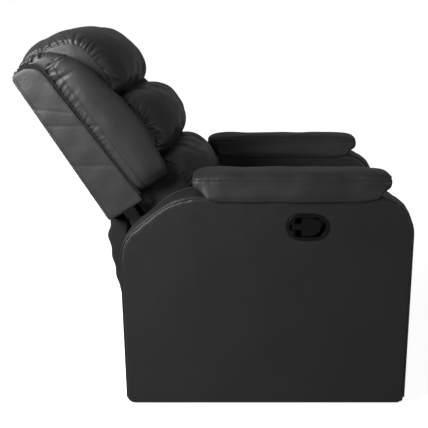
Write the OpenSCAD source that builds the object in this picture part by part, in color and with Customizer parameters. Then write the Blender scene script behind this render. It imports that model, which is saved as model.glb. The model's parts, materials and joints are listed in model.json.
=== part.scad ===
// Upholstered recliner armchair with a pull handle, for a pedicure or treatment room.
// Millimetres. The sitter faces -Y, up is +Z, and the sitter's right is -X.
// The origin lies on the floor under the middle of the chair at rest.

/* [Arms] */
// Width over the two outer side panels
overall_w = 770; // [740:5:820]
// Width of one arm over its two panels
arm_w = 140; // [125:1:150]
// Length of the side panels, front to rear
arm_l = 735; // [700:5:780]
// Height of the side panels
arm_h = 560; // [530:5:590]
// Radius of the big front top corner
arm_front_r = 95; // [70:1:110]
// Radius where the top runs into the rear slope
arm_slope_r = 180; // [140:1:200]
// Radius where the rear slope runs into the rear edge
arm_rear_r = 95; // [70:1:100]
// Radius of the two bottom corners
arm_foot_r = 12; // [6:1:20]
// Length of the rear slope, seen from above
arm_slope_l = 140; // [120:1:160]
// Fall of the rear slope
arm_slope_drop = 113; // [100:1:130]
// Thickness of a side panel with its padding
panel_t = 18; // [14:1:22]
// Thickness of the padded band round the arm
band_t = 16; // [12:1:20]
// Rise of the front band above the panel's edge
band_crown = 10; // [4:1:14]
// Rise of the rear band above the panel's edge
rear_band_crown = 5; // [2:1:8]
// Width of the rails of the wooden arm frame
arm_rail = 22; // [16:1:28]
// Height of the glides under the arms
glide_h = 6; // [4:1:10]
// Radius of a glide
glide_r = 15; // [10:1:20]
// Distance of a glide from the end of its arm
glide_inset = 62; // [50:1:90]

/* [Arm pads] */
// Distance that an arm pad is shorter than the side panels
pad_short = 228; // [215:1:255]
// Width of an arm pad
pad_w = 146; // [130:1:150]
// Height of an arm pad
pad_h = 61; // [50:1:70]
// Distance of a pad's front end behind the side panel's front edge
pad_setback = 50; // [45:1:60]

/* [Seat] */
// Height of the seat cushion's top above the floor
seat_top = 465; // [450:1:480]
// Distance that the seat cushion is shorter than the side panels
seat_short = 170; // [160:1:195]
// Thickness of the seat cushion
seat_t = 120; // [100:1:125]
// Thickness of the front lip that rolls over the footrest
seat_lip_t = 73; // [60:1:76]
// Length of the front lip
seat_lip_l = 58; // [50:1:62]
// Distance of the seat box's side from the arm
seat_box_side = 30; // [27:1:40]
// Distance that the seat box is shorter than the side panels
seat_box_short = 255; // [250:5:275]
// Height of the seat box rails
seat_box_h = 45; // [36:1:50]
// Thickness of the seat box rails
seat_rail_t = 25; // [18:1:30]
// Number of seat springs
spring_count = 4; // [3:1:5]
// Number of waves in a seat spring
spring_waves = 7; // [5:1:9]
// Radius of the spring wire
spring_wire_r = 1.8; // [1.4:0.1:2.4]

/* [Base] */
// Thickness of the base rails
base_rail_t = 25; // [20:1:30]
// Height of the base rails
base_rail_h = 70; // [60:1:90]
// Thickness of the rear skirt
skirt_t = 4; // [3:0.5:6]
// Height of the skirt's top above the floor
skirt_top = 415; // [380:1:418]

/* [Backrest] */
// Lean of the backrest from upright, as photographed
back_lean = 31.7; // [24:0.1:36]
// Distance that the backrest's side reaches over the arm
back_over = 45; // [40:1:50]
// Length of the side panels along the backrest
back_l = 438; // [420:1:460]
// Depth of the side panels at their lower end
back_foot_d = 109; // [100:1:115]
// Depth of the side panels at their upper end
back_head_d = 77; // [76:1:85]
// Thickness of the side panels
back_side_t = 12; // [9:1:14]
// Thickness of the rear panel
back_rear_t = 12; // [9:1:14]
// Radius of the side panel's front top corner
back_top_r = 48; // [36:1:56]
// Width of a frame post
back_post_w = 38; // [34:1:40]
// Depth of the frame posts
back_post_d = 62; // [50:1:64]
// Height of the frame's cross rails
back_cross_h = 60; // [45:1:70]
// Number of elastic straps
strap_count = 5; // [4:1:6]
// Width of an elastic strap
strap_w = 50; // [40:1:55]
// Thickness of an elastic strap
strap_t = 2; // [1.5:0.5:4]
// Length of a wing bolster along the backrest
wing_l = 458; // [440:1:470]
// Reach of a wing bolster from the backrest's rear face
wing_d = 216; // [200:1:225]
// Thickness of a wing bolster
wing_t = 52; // [44:1:54]

/* [Pillows] */
// Distance of a pillow's end from the backrest's side
pillow_side = 52; // [51:1:60]
// Lower edge of the head pillow along the backrest
head_low = 264; // [262:1:270]
// Upper edge of the head pillow along the backrest
head_high = 494; // [480:1:500]
// Reach of the head pillow from the backrest's rear face
head_reach = 263; // [250:1:275]
// Radius of the head pillow's front top
head_r = 148; // [120:1:152]
// Lower edge of the middle pillow along the backrest
middle_low = 72; // [68:1:76]
// Reach of the middle pillow
middle_reach = 290; // [275:1:300]
// Lower edge of the lumbar pillow, below the backrest's foot
lumbar_drop = 132; // [110:1:136]
// Reach of the lumbar pillow
lumbar_reach = 290; // [275:1:300]
// Gap left between two pillows
pillow_gap = 0.4; // [0.3:0.1:1]

/* [Footrest] */
// Distance of the footrest's side from the arm
foot_side = 7; // [5:1:15]
// Distance of the footrest's top under the seat's front lip
foot_top_gap = 20; // [17:1:36]
// Thickness of the footrest pad
foot_pad_t = 60; // [50:1:62]
// Thickness of the footrest board
foot_board_t = 15; // [12:1:18]
// Height of the pad's lower edge when it is closed
foot_low = 55; // [50:1:60]

/* [Linkage] */
// Thickness of a link
link_t = 3; // [2.5:0.5:3]
// Gap between two link layers
link_gap = 0.5; // [0.5:0.1:0.7]
// Half of the rear links' width
rear_link_r = 13; // [11:1:14]
// Half of the front links' width
front_link_r = 11; // [9:1:11]
// Half of the control links' width
slim_link_r = 8; // [6:1:8]
// Length of the two main links between their pins
main_link_l = 235; // [234:1:236]
// Radius of the main link pins
pin_r = 5; // [4:0.5:5]
// Radius of the small pins
small_pin_r = 3; // [2.5:0.5:3]
// Length of the rear link's tail past its plate pin
latch_tail_l = 35; // [28:1:38]
// Radius of the tube that joins the two rear links
cross_tube_r = 11; // [9:1:12]
// Wall of that tube
cross_tube_wall = 1.5; // [1:0.5:3]
// Outer size of the square tubes under the seat box
seat_tube = 25; // [20:1:25]
// Wall of the square tubes
seat_tube_wall = 2; // [1:0.5:3]

/* [Release handle] */
// Length of the cup's rim
cup_l = 105; // [98:1:112]
// Height of the cup's rim
cup_h = 66; // [60:1:70]
// Depth of the cup behind the panel's face
cup_depth = 34; // [28:1:40]
// Width of the rim round the cup's body
cup_lip = 5; // [4:0.5:7]
// Height of the rim above the panel
cup_rim_t = 3; // [2:0.5:4]
// Wall of the cup
cup_wall = 2.5; // [2:0.1:3]
// Distance of the cup's centre behind the side panel's front edge
cup_setback = 265; // [240:1:290]
// Height of the cup's centre above the floor
cup_z = 493; // [485:1:494]
// Thickness of the paddle
paddle_t = 5; // [4:0.5:6]
// Height of the paddle's stem
stem_h = 16.5; // [14:0.5:18]
// Width of the finger gap in front of the paddle
finger_gap = 12; // [10:0.5:14]
// Radius of the release cable's casing
cable_r = 2.5; // [2:0.5:3]
// Bend radius of the release cable
cable_bend_r = 40; // [35:1:42]

/* [Hidden] */

// Segments of a full circle, and of one rounded corner
$fn = 48;
corner_steps = 7;
// The two sides of the chair: the sitter's right, then left
right = -1;
left = 1;
// One overrun that serves all cuts
over = 1;
// Gap of soft pieces from their neighbours, and of a running pin in its bore
soft_gap = 0.4;
run_gap = 0.05;

// Places of the arms
arm_front_y = -499;
arm_out_x = overall_w / 2;
arm_in_x = arm_out_x - arm_w;
arm_mid_x = (arm_out_x + arm_in_x) / 2;
arm_core_w = arm_w - 2 * panel_t;
arm_top = glide_h + arm_h;
pad_front_y = arm_front_y + pad_setback;
pad_l = arm_l - pad_short;
pad_mid_y = pad_front_y + pad_l / 2;
// Length over which a band's crown fades out under the pad
crown_fade = 60;

// Places of the backrest: the foot of its rear face, and its hinge, on the backrest's own axes
back_past_arm = 43;
back_y = arm_front_y + arm_l + back_past_arm;
back_z = 480;
hinge_drop = 170;
hinge_d = 47.5;
hinge_y = back_y - hinge_drop * sin(back_lean) - hinge_d * cos(back_lean);
hinge_z = back_z - hinge_drop * cos(back_lean) + hinge_d * sin(back_lean);
back_w = 2 * (arm_in_x + back_over);
back_in_x = back_w / 2 - back_side_t;
post_in_x = back_in_x - back_post_w;
pillow_w = back_w - 2 * pillow_side;
pillow_rear = back_rear_t + back_post_d + soft_gap;

// Places of the seat
seat_front_y = -490;
seat_low = seat_top - seat_t;
box_front_y = -420;
seat_d = arm_l - seat_short;
seat_box_d = arm_l - seat_box_short;
seat_cushion_side = 5;
seat_cushion_w = 2 * (arm_in_x - seat_cushion_side);
seat_box_w = 2 * (arm_in_x - seat_box_side);
foot_w = 2 * (arm_in_x - foot_side);
foot_l = seat_top - seat_lip_t - foot_low - foot_top_gap;

// Places of the linkage. The letters of a layer run inwards from the mount plate.
plate_in_x = arm_in_x - link_t;
layer_a = plate_in_x - link_gap;
layer_b = layer_a - link_t - link_gap;
layer_c = layer_b - link_t - link_gap;
layer_d = layer_c - link_t - link_gap;
layer_e = layer_d - link_t - link_gap;
// Main pins as [y, z] at rest: plate pin, knee, foot pin
foot_board_back = 74;
foot_pin_back = 17;
foot_pin_z = 305;
plate_pin_back = 120;
plate_pin_drop = 15;
foot_board_y = arm_front_y + foot_board_back;
foot_pin = [foot_board_y + foot_pin_back, foot_pin_z];
plate_pin = foot_pin + [plate_pin_back, -plate_pin_drop];
knee_pin = knee(plate_pin, foot_pin, main_link_l);
// Control link from the plate to the front link's tail
control_back = 23;
control_drop = 26;
tail_back = 5;
tail_drop = 18;
control_pin = plate_pin + [control_back, -control_drop];
tail_pin = knee_pin + [tail_back, -tail_drop];
// Tilt link from the rear link to the footrest bracket
tilt_low_back = 12;
tilt_low_rise = 36;
tilt_high_rise = 28.5;
tilt_low_pin = knee_pin + [tilt_low_back, tilt_low_rise];
tilt_high_pin = foot_pin + [0, tilt_high_rise];
// Play of a pin in the hole where a closed linkage is opened
tail_play = 2.6;
tilt_play = 5.2;
// Share of the rear link's length at which the cross tube sits
cross_tube_share = 0.51;
cross_tube_at = plate_pin + cross_tube_share * (knee_pin - plate_pin);
// Latch lever: its pin, its nose just outside the stud's path, and the arm that the cable pulls
latch_back = 52;
latch_rise = 14;
latch_nose_past = 10.5;
latch_nose_angle = 60;
latch_arm_back = 2;
latch_arm_rise = 31;
latch_pin = plate_pin + [latch_back, latch_rise];
latch_nose = plate_pin
  + (latch_tail_l + latch_nose_past) * [cos(latch_nose_angle), sin(latch_nose_angle)];
latch_arm = latch_pin + [latch_arm_back, latch_arm_rise];
latch_arm_r = 5;
bolt_shares = [0.29, 0.61, 0.82];
bolt_ys = [for (k = bolt_shares) plate_pin[0] + k * (hinge_y - plate_pin[0])];
bolt_z = 255;
bolt_r = 4;
bolt_head_r = 7;
bolt_head_t = 4;
seat_tube_shares = [0.6, 0.94];
seat_tube_ys = [for (k = seat_tube_shares) box_front_y + k * seat_box_d];
plate_low = 236;
plate_high = 314;
plate_margin = 24;
hinge_pad_r = 18;

// Places of the release cup
cup_y = arm_front_y + cup_setback;
cup_body_l = cup_l - 2 * cup_lip;
cup_body_h = cup_h - 2 * cup_lip;
pocket_l = cup_body_l - 2 * cup_wall;
pocket_h = cup_body_h - 2 * cup_wall;
paddle_pin_r = 2;
paddle_pin_end = 4;
barrel_r = 4.5;
// Distance of the paddle's pin from the cup's centre, towards the rear
paddle_pin_in = 8;
paddle_pin_back = pocket_l / 2 - paddle_pin_in;
paddle_x = -arm_out_x + barrel_r;
ear_w = 11;
ear_gap = 0.4;
// Cable: it leaves the cup's back wall behind the paddle's pin and ends at the lever's arm
cable_y = cup_y + paddle_pin_back;
cable_z = latch_arm[1];
cable_x = -arm_out_x + cup_depth + cable_bend_r;
cable_end_r = 18;
cable_end_l = 5;

// Unit vector, distance, and the knee of two equal links that hangs below the line of their ends
function unit(v) = v / norm(v);
function side_of(v) = [v[1], -v[0]];
function knee(p, q, l) =
  (p + q) / 2 - side_of(unit(p - q)) * sqrt(l * l - norm(p - q) * norm(p - q) / 4)
    * (side_of(unit(p - q))[1] > 0 ? 1 : -1);

// Points of a polygon whose corners are rounded, each by its own radius
function corner_arc(a, b, c, r) =
  let (
    u = unit(a - b),
    v = unit(c - b),
    half = acos(u * v) / 2,
    mid = b + unit(u + v) * r / sin(half),
    from = b + u * r / tan(half) - mid,
    to = b + v * r / tan(half) - mid,
    start = atan2(from[1], from[0]),
    turn = atan2(from[0] * to[1] - from[1] * to[0], from * to)
  )
  [for (i = [0 : corner_steps]) mid + r * [cos(start + turn * i / corner_steps),
                                           sin(start + turn * i / corner_steps)]];
function rounded(pts, radii) =
  let (n = len(pts))
  [for (i = [0 : n - 1]) each corner_arc(pts[(i + n - 1) % n], pts[i], pts[(i + 1) % n], radii[i])];

// A polygon's corners moved inwards by d. The corners run clockwise.
function inset(pts, d) =
  let (n = len(pts))
  [for (i = [0 : n - 1])
    let (
      a = side_of(unit(pts[i] - pts[(i + n - 1) % n])),
      b = side_of(unit(pts[(i + 1) % n] - pts[i]))
    )
    pts[i] + d * (a + b) / (1 + a * b)];

// Corners of an arm seen from the side, as [y, z], clockwise from the front foot
arm_corners = [
  [arm_front_y, glide_h],
  [arm_front_y, arm_top],
  [arm_front_y + arm_l - arm_slope_l, arm_top],
  [arm_front_y + arm_l, arm_top - arm_slope_drop],
  [arm_front_y + arm_l, glide_h]
];
arm_radii = [arm_foot_r, arm_front_r, arm_slope_r, arm_rear_r, arm_foot_r];
function arm_outline(d) =
  rounded(inset(arm_corners, d), [for (r = arm_radii) max(r - d, arm_foot_r / 2)]);

// A flat shape drawn as [y, z], given a thickness along X between a and b from the middle
module slab(side, a, b) {
  translate([side > 0 ? a : -b, 0, 0])
    rotate([90, 0, 90])
      linear_extrude(b - a)
        children();
}

// A round pin along X between a and b from the middle, at p = [y, z]
module pin(side, a, b, r, p) {
  translate([side > 0 ? a : -b, p[0], p[1]])
    rotate([0, 90, 0])
      cylinder(h = b - a, r = r);
}

// A flat bar with round ends between two points, a little narrower than its ends
bar_share = 0.96;
module bar(p, q, r) {
  translate(p) circle(r);
  translate(q) circle(r);
  translate(p)
    rotate(atan2(q[1] - p[1], q[0] - p[0]))
      translate([0, -r * bar_share])
        square([norm(q - p), 2 * r * bar_share]);
}

module stadium(l, h) {
  square([l - h, h], center = true);
  for (s = [-1, 1])
    translate([s * (l - h) / 2, 0]) circle(h / 2);
}

// The backrest's own axes: X across, Y to the rear, Z up along its rear face
module on_back() {
  translate([0, back_y, back_z])
    rotate([-back_lean, 0, 0])
      children();
}

// Closed skin over rings of points, with a fan over each end
module skin(rings) {
  n = len(rings[0]);
  m = len(rings);
  pts = [for (ring = rings) each ring, centre(rings[0]), centre(rings[m - 1])];
  polyhedron(pts, [
    for (k = [0 : m - 2], i = [0 : n - 1]) each [
      [k * n + i, (k + 1) * n + i, k * n + (i + 1) % n],
      [(k + 1) * n + i, (k + 1) * n + (i + 1) % n, k * n + (i + 1) % n]
    ],
    for (i = [0 : n - 1]) [m * n, i, (i + 1) % n],
    for (i = [0 : n - 1]) [m * n + 1, (m - 1) * n + (i + 1) % n, (m - 1) * n + i]
  ]);
}
function sum_of(v, i = 0) = i == len(v) ? 0 : v[i] + sum_of(v, i + 1);
function centre(ring) = [for (j = [0 : 2]) sum_of([for (p = ring) p[j]]) / len(ring)];

// Arms
module arm_frame(side) {
  color("burlywood")
    slab(side, arm_in_x + panel_t, arm_out_x - panel_t)
      difference() {
        polygon(arm_outline(band_t));
        polygon(arm_outline(band_t + arm_rail));
      }
}

module cup_place(side, a, b) {
  slab(side, a, b)
    translate([cup_y, cup_z]) children();
}

module outer_panel(side) {
  color([0.17, 0.17, 0.17])
    difference() {
      slab(side, arm_out_x - panel_t, arm_out_x)
        polygon(arm_outline(0));
      if (side == right)
        cup_place(side, arm_out_x - panel_t - over, arm_out_x + over)
          stadium(cup_body_l + 2 * ear_gap, cup_body_h + 2 * ear_gap);
    }
}

module inner_panel(side) {
  color([0.16, 0.16, 0.16])
    difference() {
      slab(side, arm_in_x, arm_in_x + panel_t)
        polygon(arm_outline(0));
      for (y = bolt_ys)
        pin(side, arm_in_x - over, arm_in_x + panel_t + over, bolt_r + run_gap, [y, bolt_z]);
      if (side == right)
        pin(side, arm_in_x - over, arm_in_x + panel_t + over, cable_r + run_gap, [cable_y, cable_z]);
    }
}

// The band's path along the arm's edge: the part in front of, or behind, the pad's middle
arm_edge = arm_outline(0);
front_path = [
  [arm_front_y, glide_h + arm_foot_r],
  for (i = [corner_steps + 1 : 2 * corner_steps + 1]) arm_edge[i],
  [pad_front_y + crown_fade, arm_top],
  [pad_mid_y, arm_top]
];
rear_path = [
  [pad_mid_y, arm_top],
  [pad_front_y + pad_l - crown_fade, arm_top],
  for (i = [2 * corner_steps + 2 : 4 * corner_steps + 3]) arm_edge[i],
  [arm_front_y + arm_l, glide_h + arm_foot_r]
];
// Share of the crown at a place along the arm: none under the pad
function crown_at(y) =
  min(1, max(0, (pad_front_y + crown_fade / 2 - y) / crown_fade,
                (y - pad_front_y - pad_l + crown_fade / 2) / crown_fade));
// Out to the side of the path, square to it
function outward(path, i) =
  let (
    n = len(path),
    a = path[max(i - 1, 0)],
    b = path[min(i + 1, n - 1)]
  )
  -side_of(unit(b - a));
crown_shares = [-1, -0.72, -0.38, 0, 0.38, 0.72, 1];

module band(side, path, crown) {
  w = arm_core_w / 2 - run_gap;
  color([0.15, 0.15, 0.15])
    translate([side * arm_mid_x, 0, 0])
      skin([for (i = [0 : len(path) - 1])
        let (out = outward(path, i), rise = crown * crown_at(path[i][0]))
        [
          for (c = crown_shares)
            let (p = path[i] + out * rise * (1 - c * c))
            [c * w, p[0], p[1]],
          for (c = [1, -1])
            let (p = path[i] - out * (band_t - 3 * run_gap))
            [c * w, p[0], p[1]]
        ]]);
}

// A padded form along an axis: stations as [place, width, height, drop of its middle]
module arm_pad(side) {
  // Share of the full section at shares of the length, the ends drawn in to a sewn tip
  station_shares = [0, 0.012, 0.035, 0.075, 0.14, 0.3, 0.5, 0.7, 0.86, 0.925, 0.965, 0.988, 1];
  size_shares = [0.42, 0.66, 0.83, 0.93, 0.985, 1, 1, 1, 0.985, 0.93, 0.83, 0.66, 0.42];
  // Half section from the bottom to the top, as shares of half the width and of the height
  section_shares = [
    [0, 0], [0.6, 0], [0.86, 0.05], [0.97, 0.2], [1, 0.42], [0.985, 0.62], [0.93, 0.78],
    [0.8, 0.9], [0.6, 0.965], [0.32, 0.995], [0, 1]
  ];
  n = len(section_shares);
  section = [
    each section_shares,
    for (i = [n - 2 : -1 : 1]) [-section_shares[i][0], section_shares[i][1]]
  ];
  // Height share of the seam, which stays level along the pad
  seam_share = 0.55;
  color([0.22, 0.22, 0.22])
    translate([side * arm_mid_x, pad_front_y, arm_top + soft_gap])
      skin([for (k = [len(station_shares) - 1 : -1 : 0])
        let (f = size_shares[k])
        [for (p = section)
          [
            p[0] * pad_w / 2 * (1 - (1 - f) * 0.55),
            station_shares[k] * pad_l,
            (seam_share + (p[1] - seam_share) * f) * pad_h
          ]]]);
}

module glides() {
  color([0.1, 0.1, 0.1])
    for (side = [right, left], y = [arm_front_y + glide_inset, arm_front_y + arm_l - glide_inset])
      translate([side * arm_mid_x, y, 0])
        cylinder(h = glide_h + band_t, r = glide_r);
}

// Base
module base_front_rail() {
  color("burlywood")
    translate([-arm_in_x, plate_pin[0] - front_rail_in, glide_h + band_t])
      cube([2 * arm_in_x, base_rail_t, base_rail_h]);
}

front_rail_in = 42;
rear_rail_low = 64;
module base_rear_rail() {
  color("burlywood")
    translate([-arm_in_x, arm_front_y + arm_l - base_rail_t, rear_rail_low])
      cube([2 * arm_in_x, base_rail_t, base_rail_h]);
}

skirt_y = arm_front_y + arm_l;
skirt_reach = 48;
module rear_skirt() {
  // Fall of the skirt as [y share of its reach, z share of its height], foot to top
  fall_shares = [[0, 0], [0, 0.2], [0.25, 0.36], [0.6, 0.6], [0.82, 0.8], [1, 1]];
  drop = skirt_top - rear_rail_low;
  line = [for (p = fall_shares) [skirt_y + p[0] * skirt_reach, rear_rail_low + p[1] * drop]];
  n = len(line);
  color([0.08, 0.08, 0.08])
    slab(left, -arm_in_x + over, arm_in_x - over)
      polygon([
        each line,
        for (i = [n - 1 : -1 : 0]) line[i] + [skirt_t, 0]
      ]);
}

// Mount plates, their pins and the tubes between them
module mount_plate(side) {
  hinge = [hinge_y, hinge_z];
  color([0.35, 0.35, 0.36])
    difference() {
      slab(side, plate_in_x, arm_in_x)
        union() {
          polygon(rounded([
            [plate_pin[0] - plate_margin, plate_low],
            [plate_pin[0] - plate_margin, plate_high],
            [hinge_y + hinge_pad_r, plate_high],
            [hinge_y + hinge_pad_r, plate_low]
          ], [for (i = [1 : 4]) latch_arm_r]));
          bar([hinge_y, plate_high - hinge_pad_r], hinge, hinge_pad_r);
        }
      for (p = [plate_pin, control_pin])
        pin(side, plate_in_x - over, arm_in_x + over, pin_r + run_gap, p);
      pin(side, plate_in_x - over, arm_in_x + over, 2 * pin_r + run_gap, hinge);
      for (y = bolt_ys)
        pin(side, plate_in_x - over, arm_in_x + over, bolt_r + run_gap, [y, bolt_z]);
      if (side == right)
        pin(side, plate_in_x - over, arm_in_x + over, small_pin_r + run_gap, latch_pin);
    }
}

module mount_bolts() {
  color("silver")
    for (side = [right, left], y = bolt_ys) {
      pin(side, plate_in_x, arm_in_x + panel_t, bolt_r, [y, bolt_z]);
      translate([side * plate_in_x, y, bolt_z])
        rotate([0, -side * 90, 0])
          cylinder(h = bolt_head_t, r = bolt_head_r, $fn = 6);
    }
}

// A pin through the plate with a spacer ring before its link and a head behind it
module plate_pivot(side, p, r, link_x) {
  pin(side, link_x - link_t - link_gap, arm_in_x, r, p);
  pin(side, link_x - link_t - 3 * link_gap, link_x - link_t - link_gap / 2, 1.5 * r, p);
  if (link_x < layer_a)
    pin(side, link_x + link_gap / 2, plate_in_x, 1.5 * r, p);
}

module plate_pivots() {
  color("silver") {
    for (side = [right, left]) {
      plate_pivot(side, plate_pin, pin_r, layer_b);
      plate_pivot(side, control_pin, pin_r, layer_a);
    }
    plate_pivot(right, latch_pin, small_pin_r, layer_a);
  }
}

bracket_t = 4;
bracket_x = plate_in_x - 2 * link_gap - bracket_t;
module back_pivots() {
  color("silver")
    for (side = [right, left]) {
      pin(side, bracket_x, arm_in_x, 2 * pin_r, [hinge_y, hinge_z]);
      pin(side, bracket_x - link_t, bracket_x - link_gap, 3 * pin_r, [hinge_y, hinge_z]);
      pin(side, bracket_x - link_gap, bracket_x, 2 * pin_r, [hinge_y, hinge_z]);
      pin(side, bracket_x + bracket_t + link_gap / 2, plate_in_x, 3 * pin_r, [hinge_y, hinge_z]);
    }
}

seat_box_low = seat_low - seat_box_h;
module seat_tubes() {
  color([0.3, 0.3, 0.3])
    for (y = seat_tube_ys)
      translate([-plate_in_x, y, seat_box_low - seat_tube])
        difference() {
          cube([2 * plate_in_x, seat_tube, seat_tube]);
          translate([-over, seat_tube_wall, seat_tube_wall])
            cube([2 * (plate_in_x + over), seat_tube - 2 * seat_tube_wall,
                  seat_tube - 2 * seat_tube_wall]);
        }
}

module seat_box() {
  color("burlywood")
    translate([-seat_box_w / 2, box_front_y, seat_box_low])
      difference() {
        cube([seat_box_w, seat_box_d, seat_box_h]);
        translate([seat_rail_t, seat_rail_t, -over])
          cube([seat_box_w - 2 * seat_rail_t, seat_box_d - 2 * seat_rail_t, seat_box_h + 2 * over]);
      }
}

// One sinuous spring from the front rail to the rear rail of the seat box
module seat_spring(x) {
  sides = 4;
  steps = 6 * spring_waves;
  span = seat_box_d - 2 * seat_rail_t;
  swing = 22;
  z = seat_low - 2 * spring_wire_r;
  function at(i) = [
    x + swing * sin(360 * spring_waves * i / steps),
    box_front_y + seat_rail_t + span * i / steps + swing / 2 * sin(720 * spring_waves * i / steps) / 2
  ];
  line = [for (i = [0 : steps]) at(i)];
  skin([for (i = [0 : steps])
    let (
      t = i == 0 || i == steps ? [0, 1] : unit(line[i + 1] - line[i - 1]),
      out = [t[1], -t[0]]
    )
    [for (k = [0 : sides - 1])
      let (a = -360 * (k + 1 / 2) / sides)
      [
        line[i][0] + out[0] * cos(a) * spring_wire_r,
        line[i][1] + out[1] * cos(a) * spring_wire_r,
        z + sin(a) * spring_wire_r
      ]]]);
}

module seat_springs() {
  inner_w = seat_box_w - 2 * seat_rail_t;
  color("gray")
    for (i = [0 : spring_count - 1])
      seat_spring(-inner_w / 2 + inner_w * (i + 1 / 2) / spring_count);
}

// A pillow: its outline as [depth, place along], drawn in towards its two ends.
// anchor stays put; the outline shrinks by its own share above, below and in front of it.
end_place_shares = [1, 0.992, 0.96, 0.88, 0.72, 0.45, 0];
end_draw_shares = [1.25, 1, 0.84, 0.58, 0.3, 0.08, 0];
function drawn(p, anchor, k, up, down, front) = [
  p[0] > anchor[0] ? anchor[0] + (p[0] - anchor[0]) * (1 - (1 - front) * k) : p[0],
  p[1] > anchor[1] ? anchor[1] + (p[1] - anchor[1]) * (1 - (1 - up) * k)
    : anchor[1] + (p[1] - anchor[1]) * (1 - (1 - down) * k)
];
module pillow(w, outline, anchor, up, down, front) {
  last = len(end_place_shares) - 1;
  places = [
    for (i = [0 : last]) [end_place_shares[i], end_draw_shares[i]],
    for (i = [last - 1 : -1 : 0]) [-end_place_shares[i], end_draw_shares[i]]
  ];
  skin([for (q = places)
    [for (p = outline)
      let (d = drawn(p, anchor, q[1], up, down, front))
      [q[0] * w / 2, -d[0], d[1]]]]);
}

// Radii of the pillows' sections, corner by corner
head_radii = [6, 1, 8, 45, head_r, 42];
middle_radii = [10, 10, 76, 48];
lumbar_radii = [30, 10, 48, 70];
module head_pillow() {
  notch = back_l + soft_gap;
  rear = back_rear_t + soft_gap;
  color([0.2, 0.2, 0.2])
    on_back()
      pillow(pillow_w, rounded([
        [pillow_rear, head_low],
        [pillow_rear, notch],
        [rear, notch],
        [3 * rear, head_high],
        [head_reach, head_high],
        [head_reach, head_low]
      ], head_radii), [pillow_rear, notch], 0.45, 0.97, 0.68);
}

module middle_pillow() {
  high = head_low - pillow_gap;
  color([0.19, 0.19, 0.19])
    on_back()
      pillow(pillow_w, rounded([
        [pillow_rear, middle_low],
        [pillow_rear, high],
        [middle_reach, high],
        [middle_reach, middle_low]
      ], middle_radii), [pillow_rear, (middle_low + high) / 2], 0.97, 0.97, 0.66);
}

module lumbar_pillow() {
  high = middle_low - pillow_gap;
  color([0.19, 0.19, 0.19])
    on_back()
      pillow(pillow_w, rounded([
        [pillow_rear, -lumbar_drop],
        [pillow_rear, high],
        [lumbar_reach, high],
        [lumbar_reach, -lumbar_drop]
      ], lumbar_radii), [pillow_rear, (high - lumbar_drop) / 2], 0.97, 0.95, 0.7);
}

// Seat cushion, with a lip that rolls over the footrest
seat_radii = [12, 34, 38, 30, 8, 6, 6];
module seat_cushion() {
  rear_y = seat_front_y + seat_d;
  lip_y = seat_front_y + seat_lip_l;
  lip_z = seat_top - seat_lip_t;
  outline = rounded([
    [rear_y, seat_low + soft_gap],
    [rear_y, seat_top],
    [seat_front_y, seat_top],
    [seat_front_y, lip_z],
    [lip_y, lip_z],
    [box_front_y + 0.4 * seat_rail_t, lip_z - 0.2 * seat_lip_t],
    [box_front_y + 0.8 * seat_rail_t, seat_low + soft_gap]
  ], seat_radii);
  color([0.18, 0.18, 0.18])
    seat_form(outline, seat_cushion_w);
}

// A crowned cushion over a flat base: its section as [y, z], its top drawn down at the sides
module seat_form(outline, w) {
  place_shares = [-1, -0.985, -0.93, -0.8, -0.55, 0, 0.55, 0.8, 0.93, 0.985, 1];
  draw_shares = [0.8, 0.62, 0.4, 0.2, 0.06, 0, 0.06, 0.2, 0.4, 0.62, 0.8];
  side_drop = 26;
  side_draw = 14;
  mid_z = seat_top - seat_lip_t;
  mid_y = seat_front_y + seat_d / 2;
  skin([for (i = [0 : len(place_shares) - 1])
    [for (p = outline)
      let (
        k = draw_shares[i],
        up = max(0, p[1] - mid_z) / seat_lip_t,
        toward = (mid_y - p[0]) / (seat_d / 2)
      )
      [
        place_shares[i] * w / 2,
        p[0] + side_draw * k * toward,
        p[1] - side_drop * k * up
      ]]]);
}

// Release cup in the right side panel
module handle_cup() {
  pin_y = cup_y + paddle_pin_back;
  color([0.03, 0.03, 0.03])
    difference() {
      union() {
        cup_place(right, arm_out_x, arm_out_x + cup_rim_t)
          stadium(cup_l, cup_h);
        cup_place(right, arm_out_x - cup_depth, arm_out_x)
          stadium(cup_body_l, cup_body_h);
      }
      difference() {
        cup_place(right, arm_out_x - cup_depth + cup_wall, arm_out_x + cup_rim_t + over)
          stadium(pocket_l, pocket_h);
        // Ears that hold the paddle's pin, above and below its stem
        for (s = [-1, 1])
          translate([-arm_out_x, pin_y - ear_w / 2,
                     s > 0 ? cup_z + stem_h / 2 + ear_gap : cup_z - stem_h / 2 - ear_gap - pocket_h])
            cube([cup_depth, ear_w, pocket_h]);
      }
      translate([paddle_x, pin_y, cup_z - pocket_h / 2])
        cylinder(h = pocket_h, r = paddle_pin_r + run_gap);
    }
}

module paddle_pin() {
  half = stem_h / 2 + ear_gap + paddle_pin_end;
  color("silver")
    translate([paddle_x, cup_y + paddle_pin_back, cup_z - half])
      cylinder(h = 2 * half, r = paddle_pin_r);
}

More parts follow.
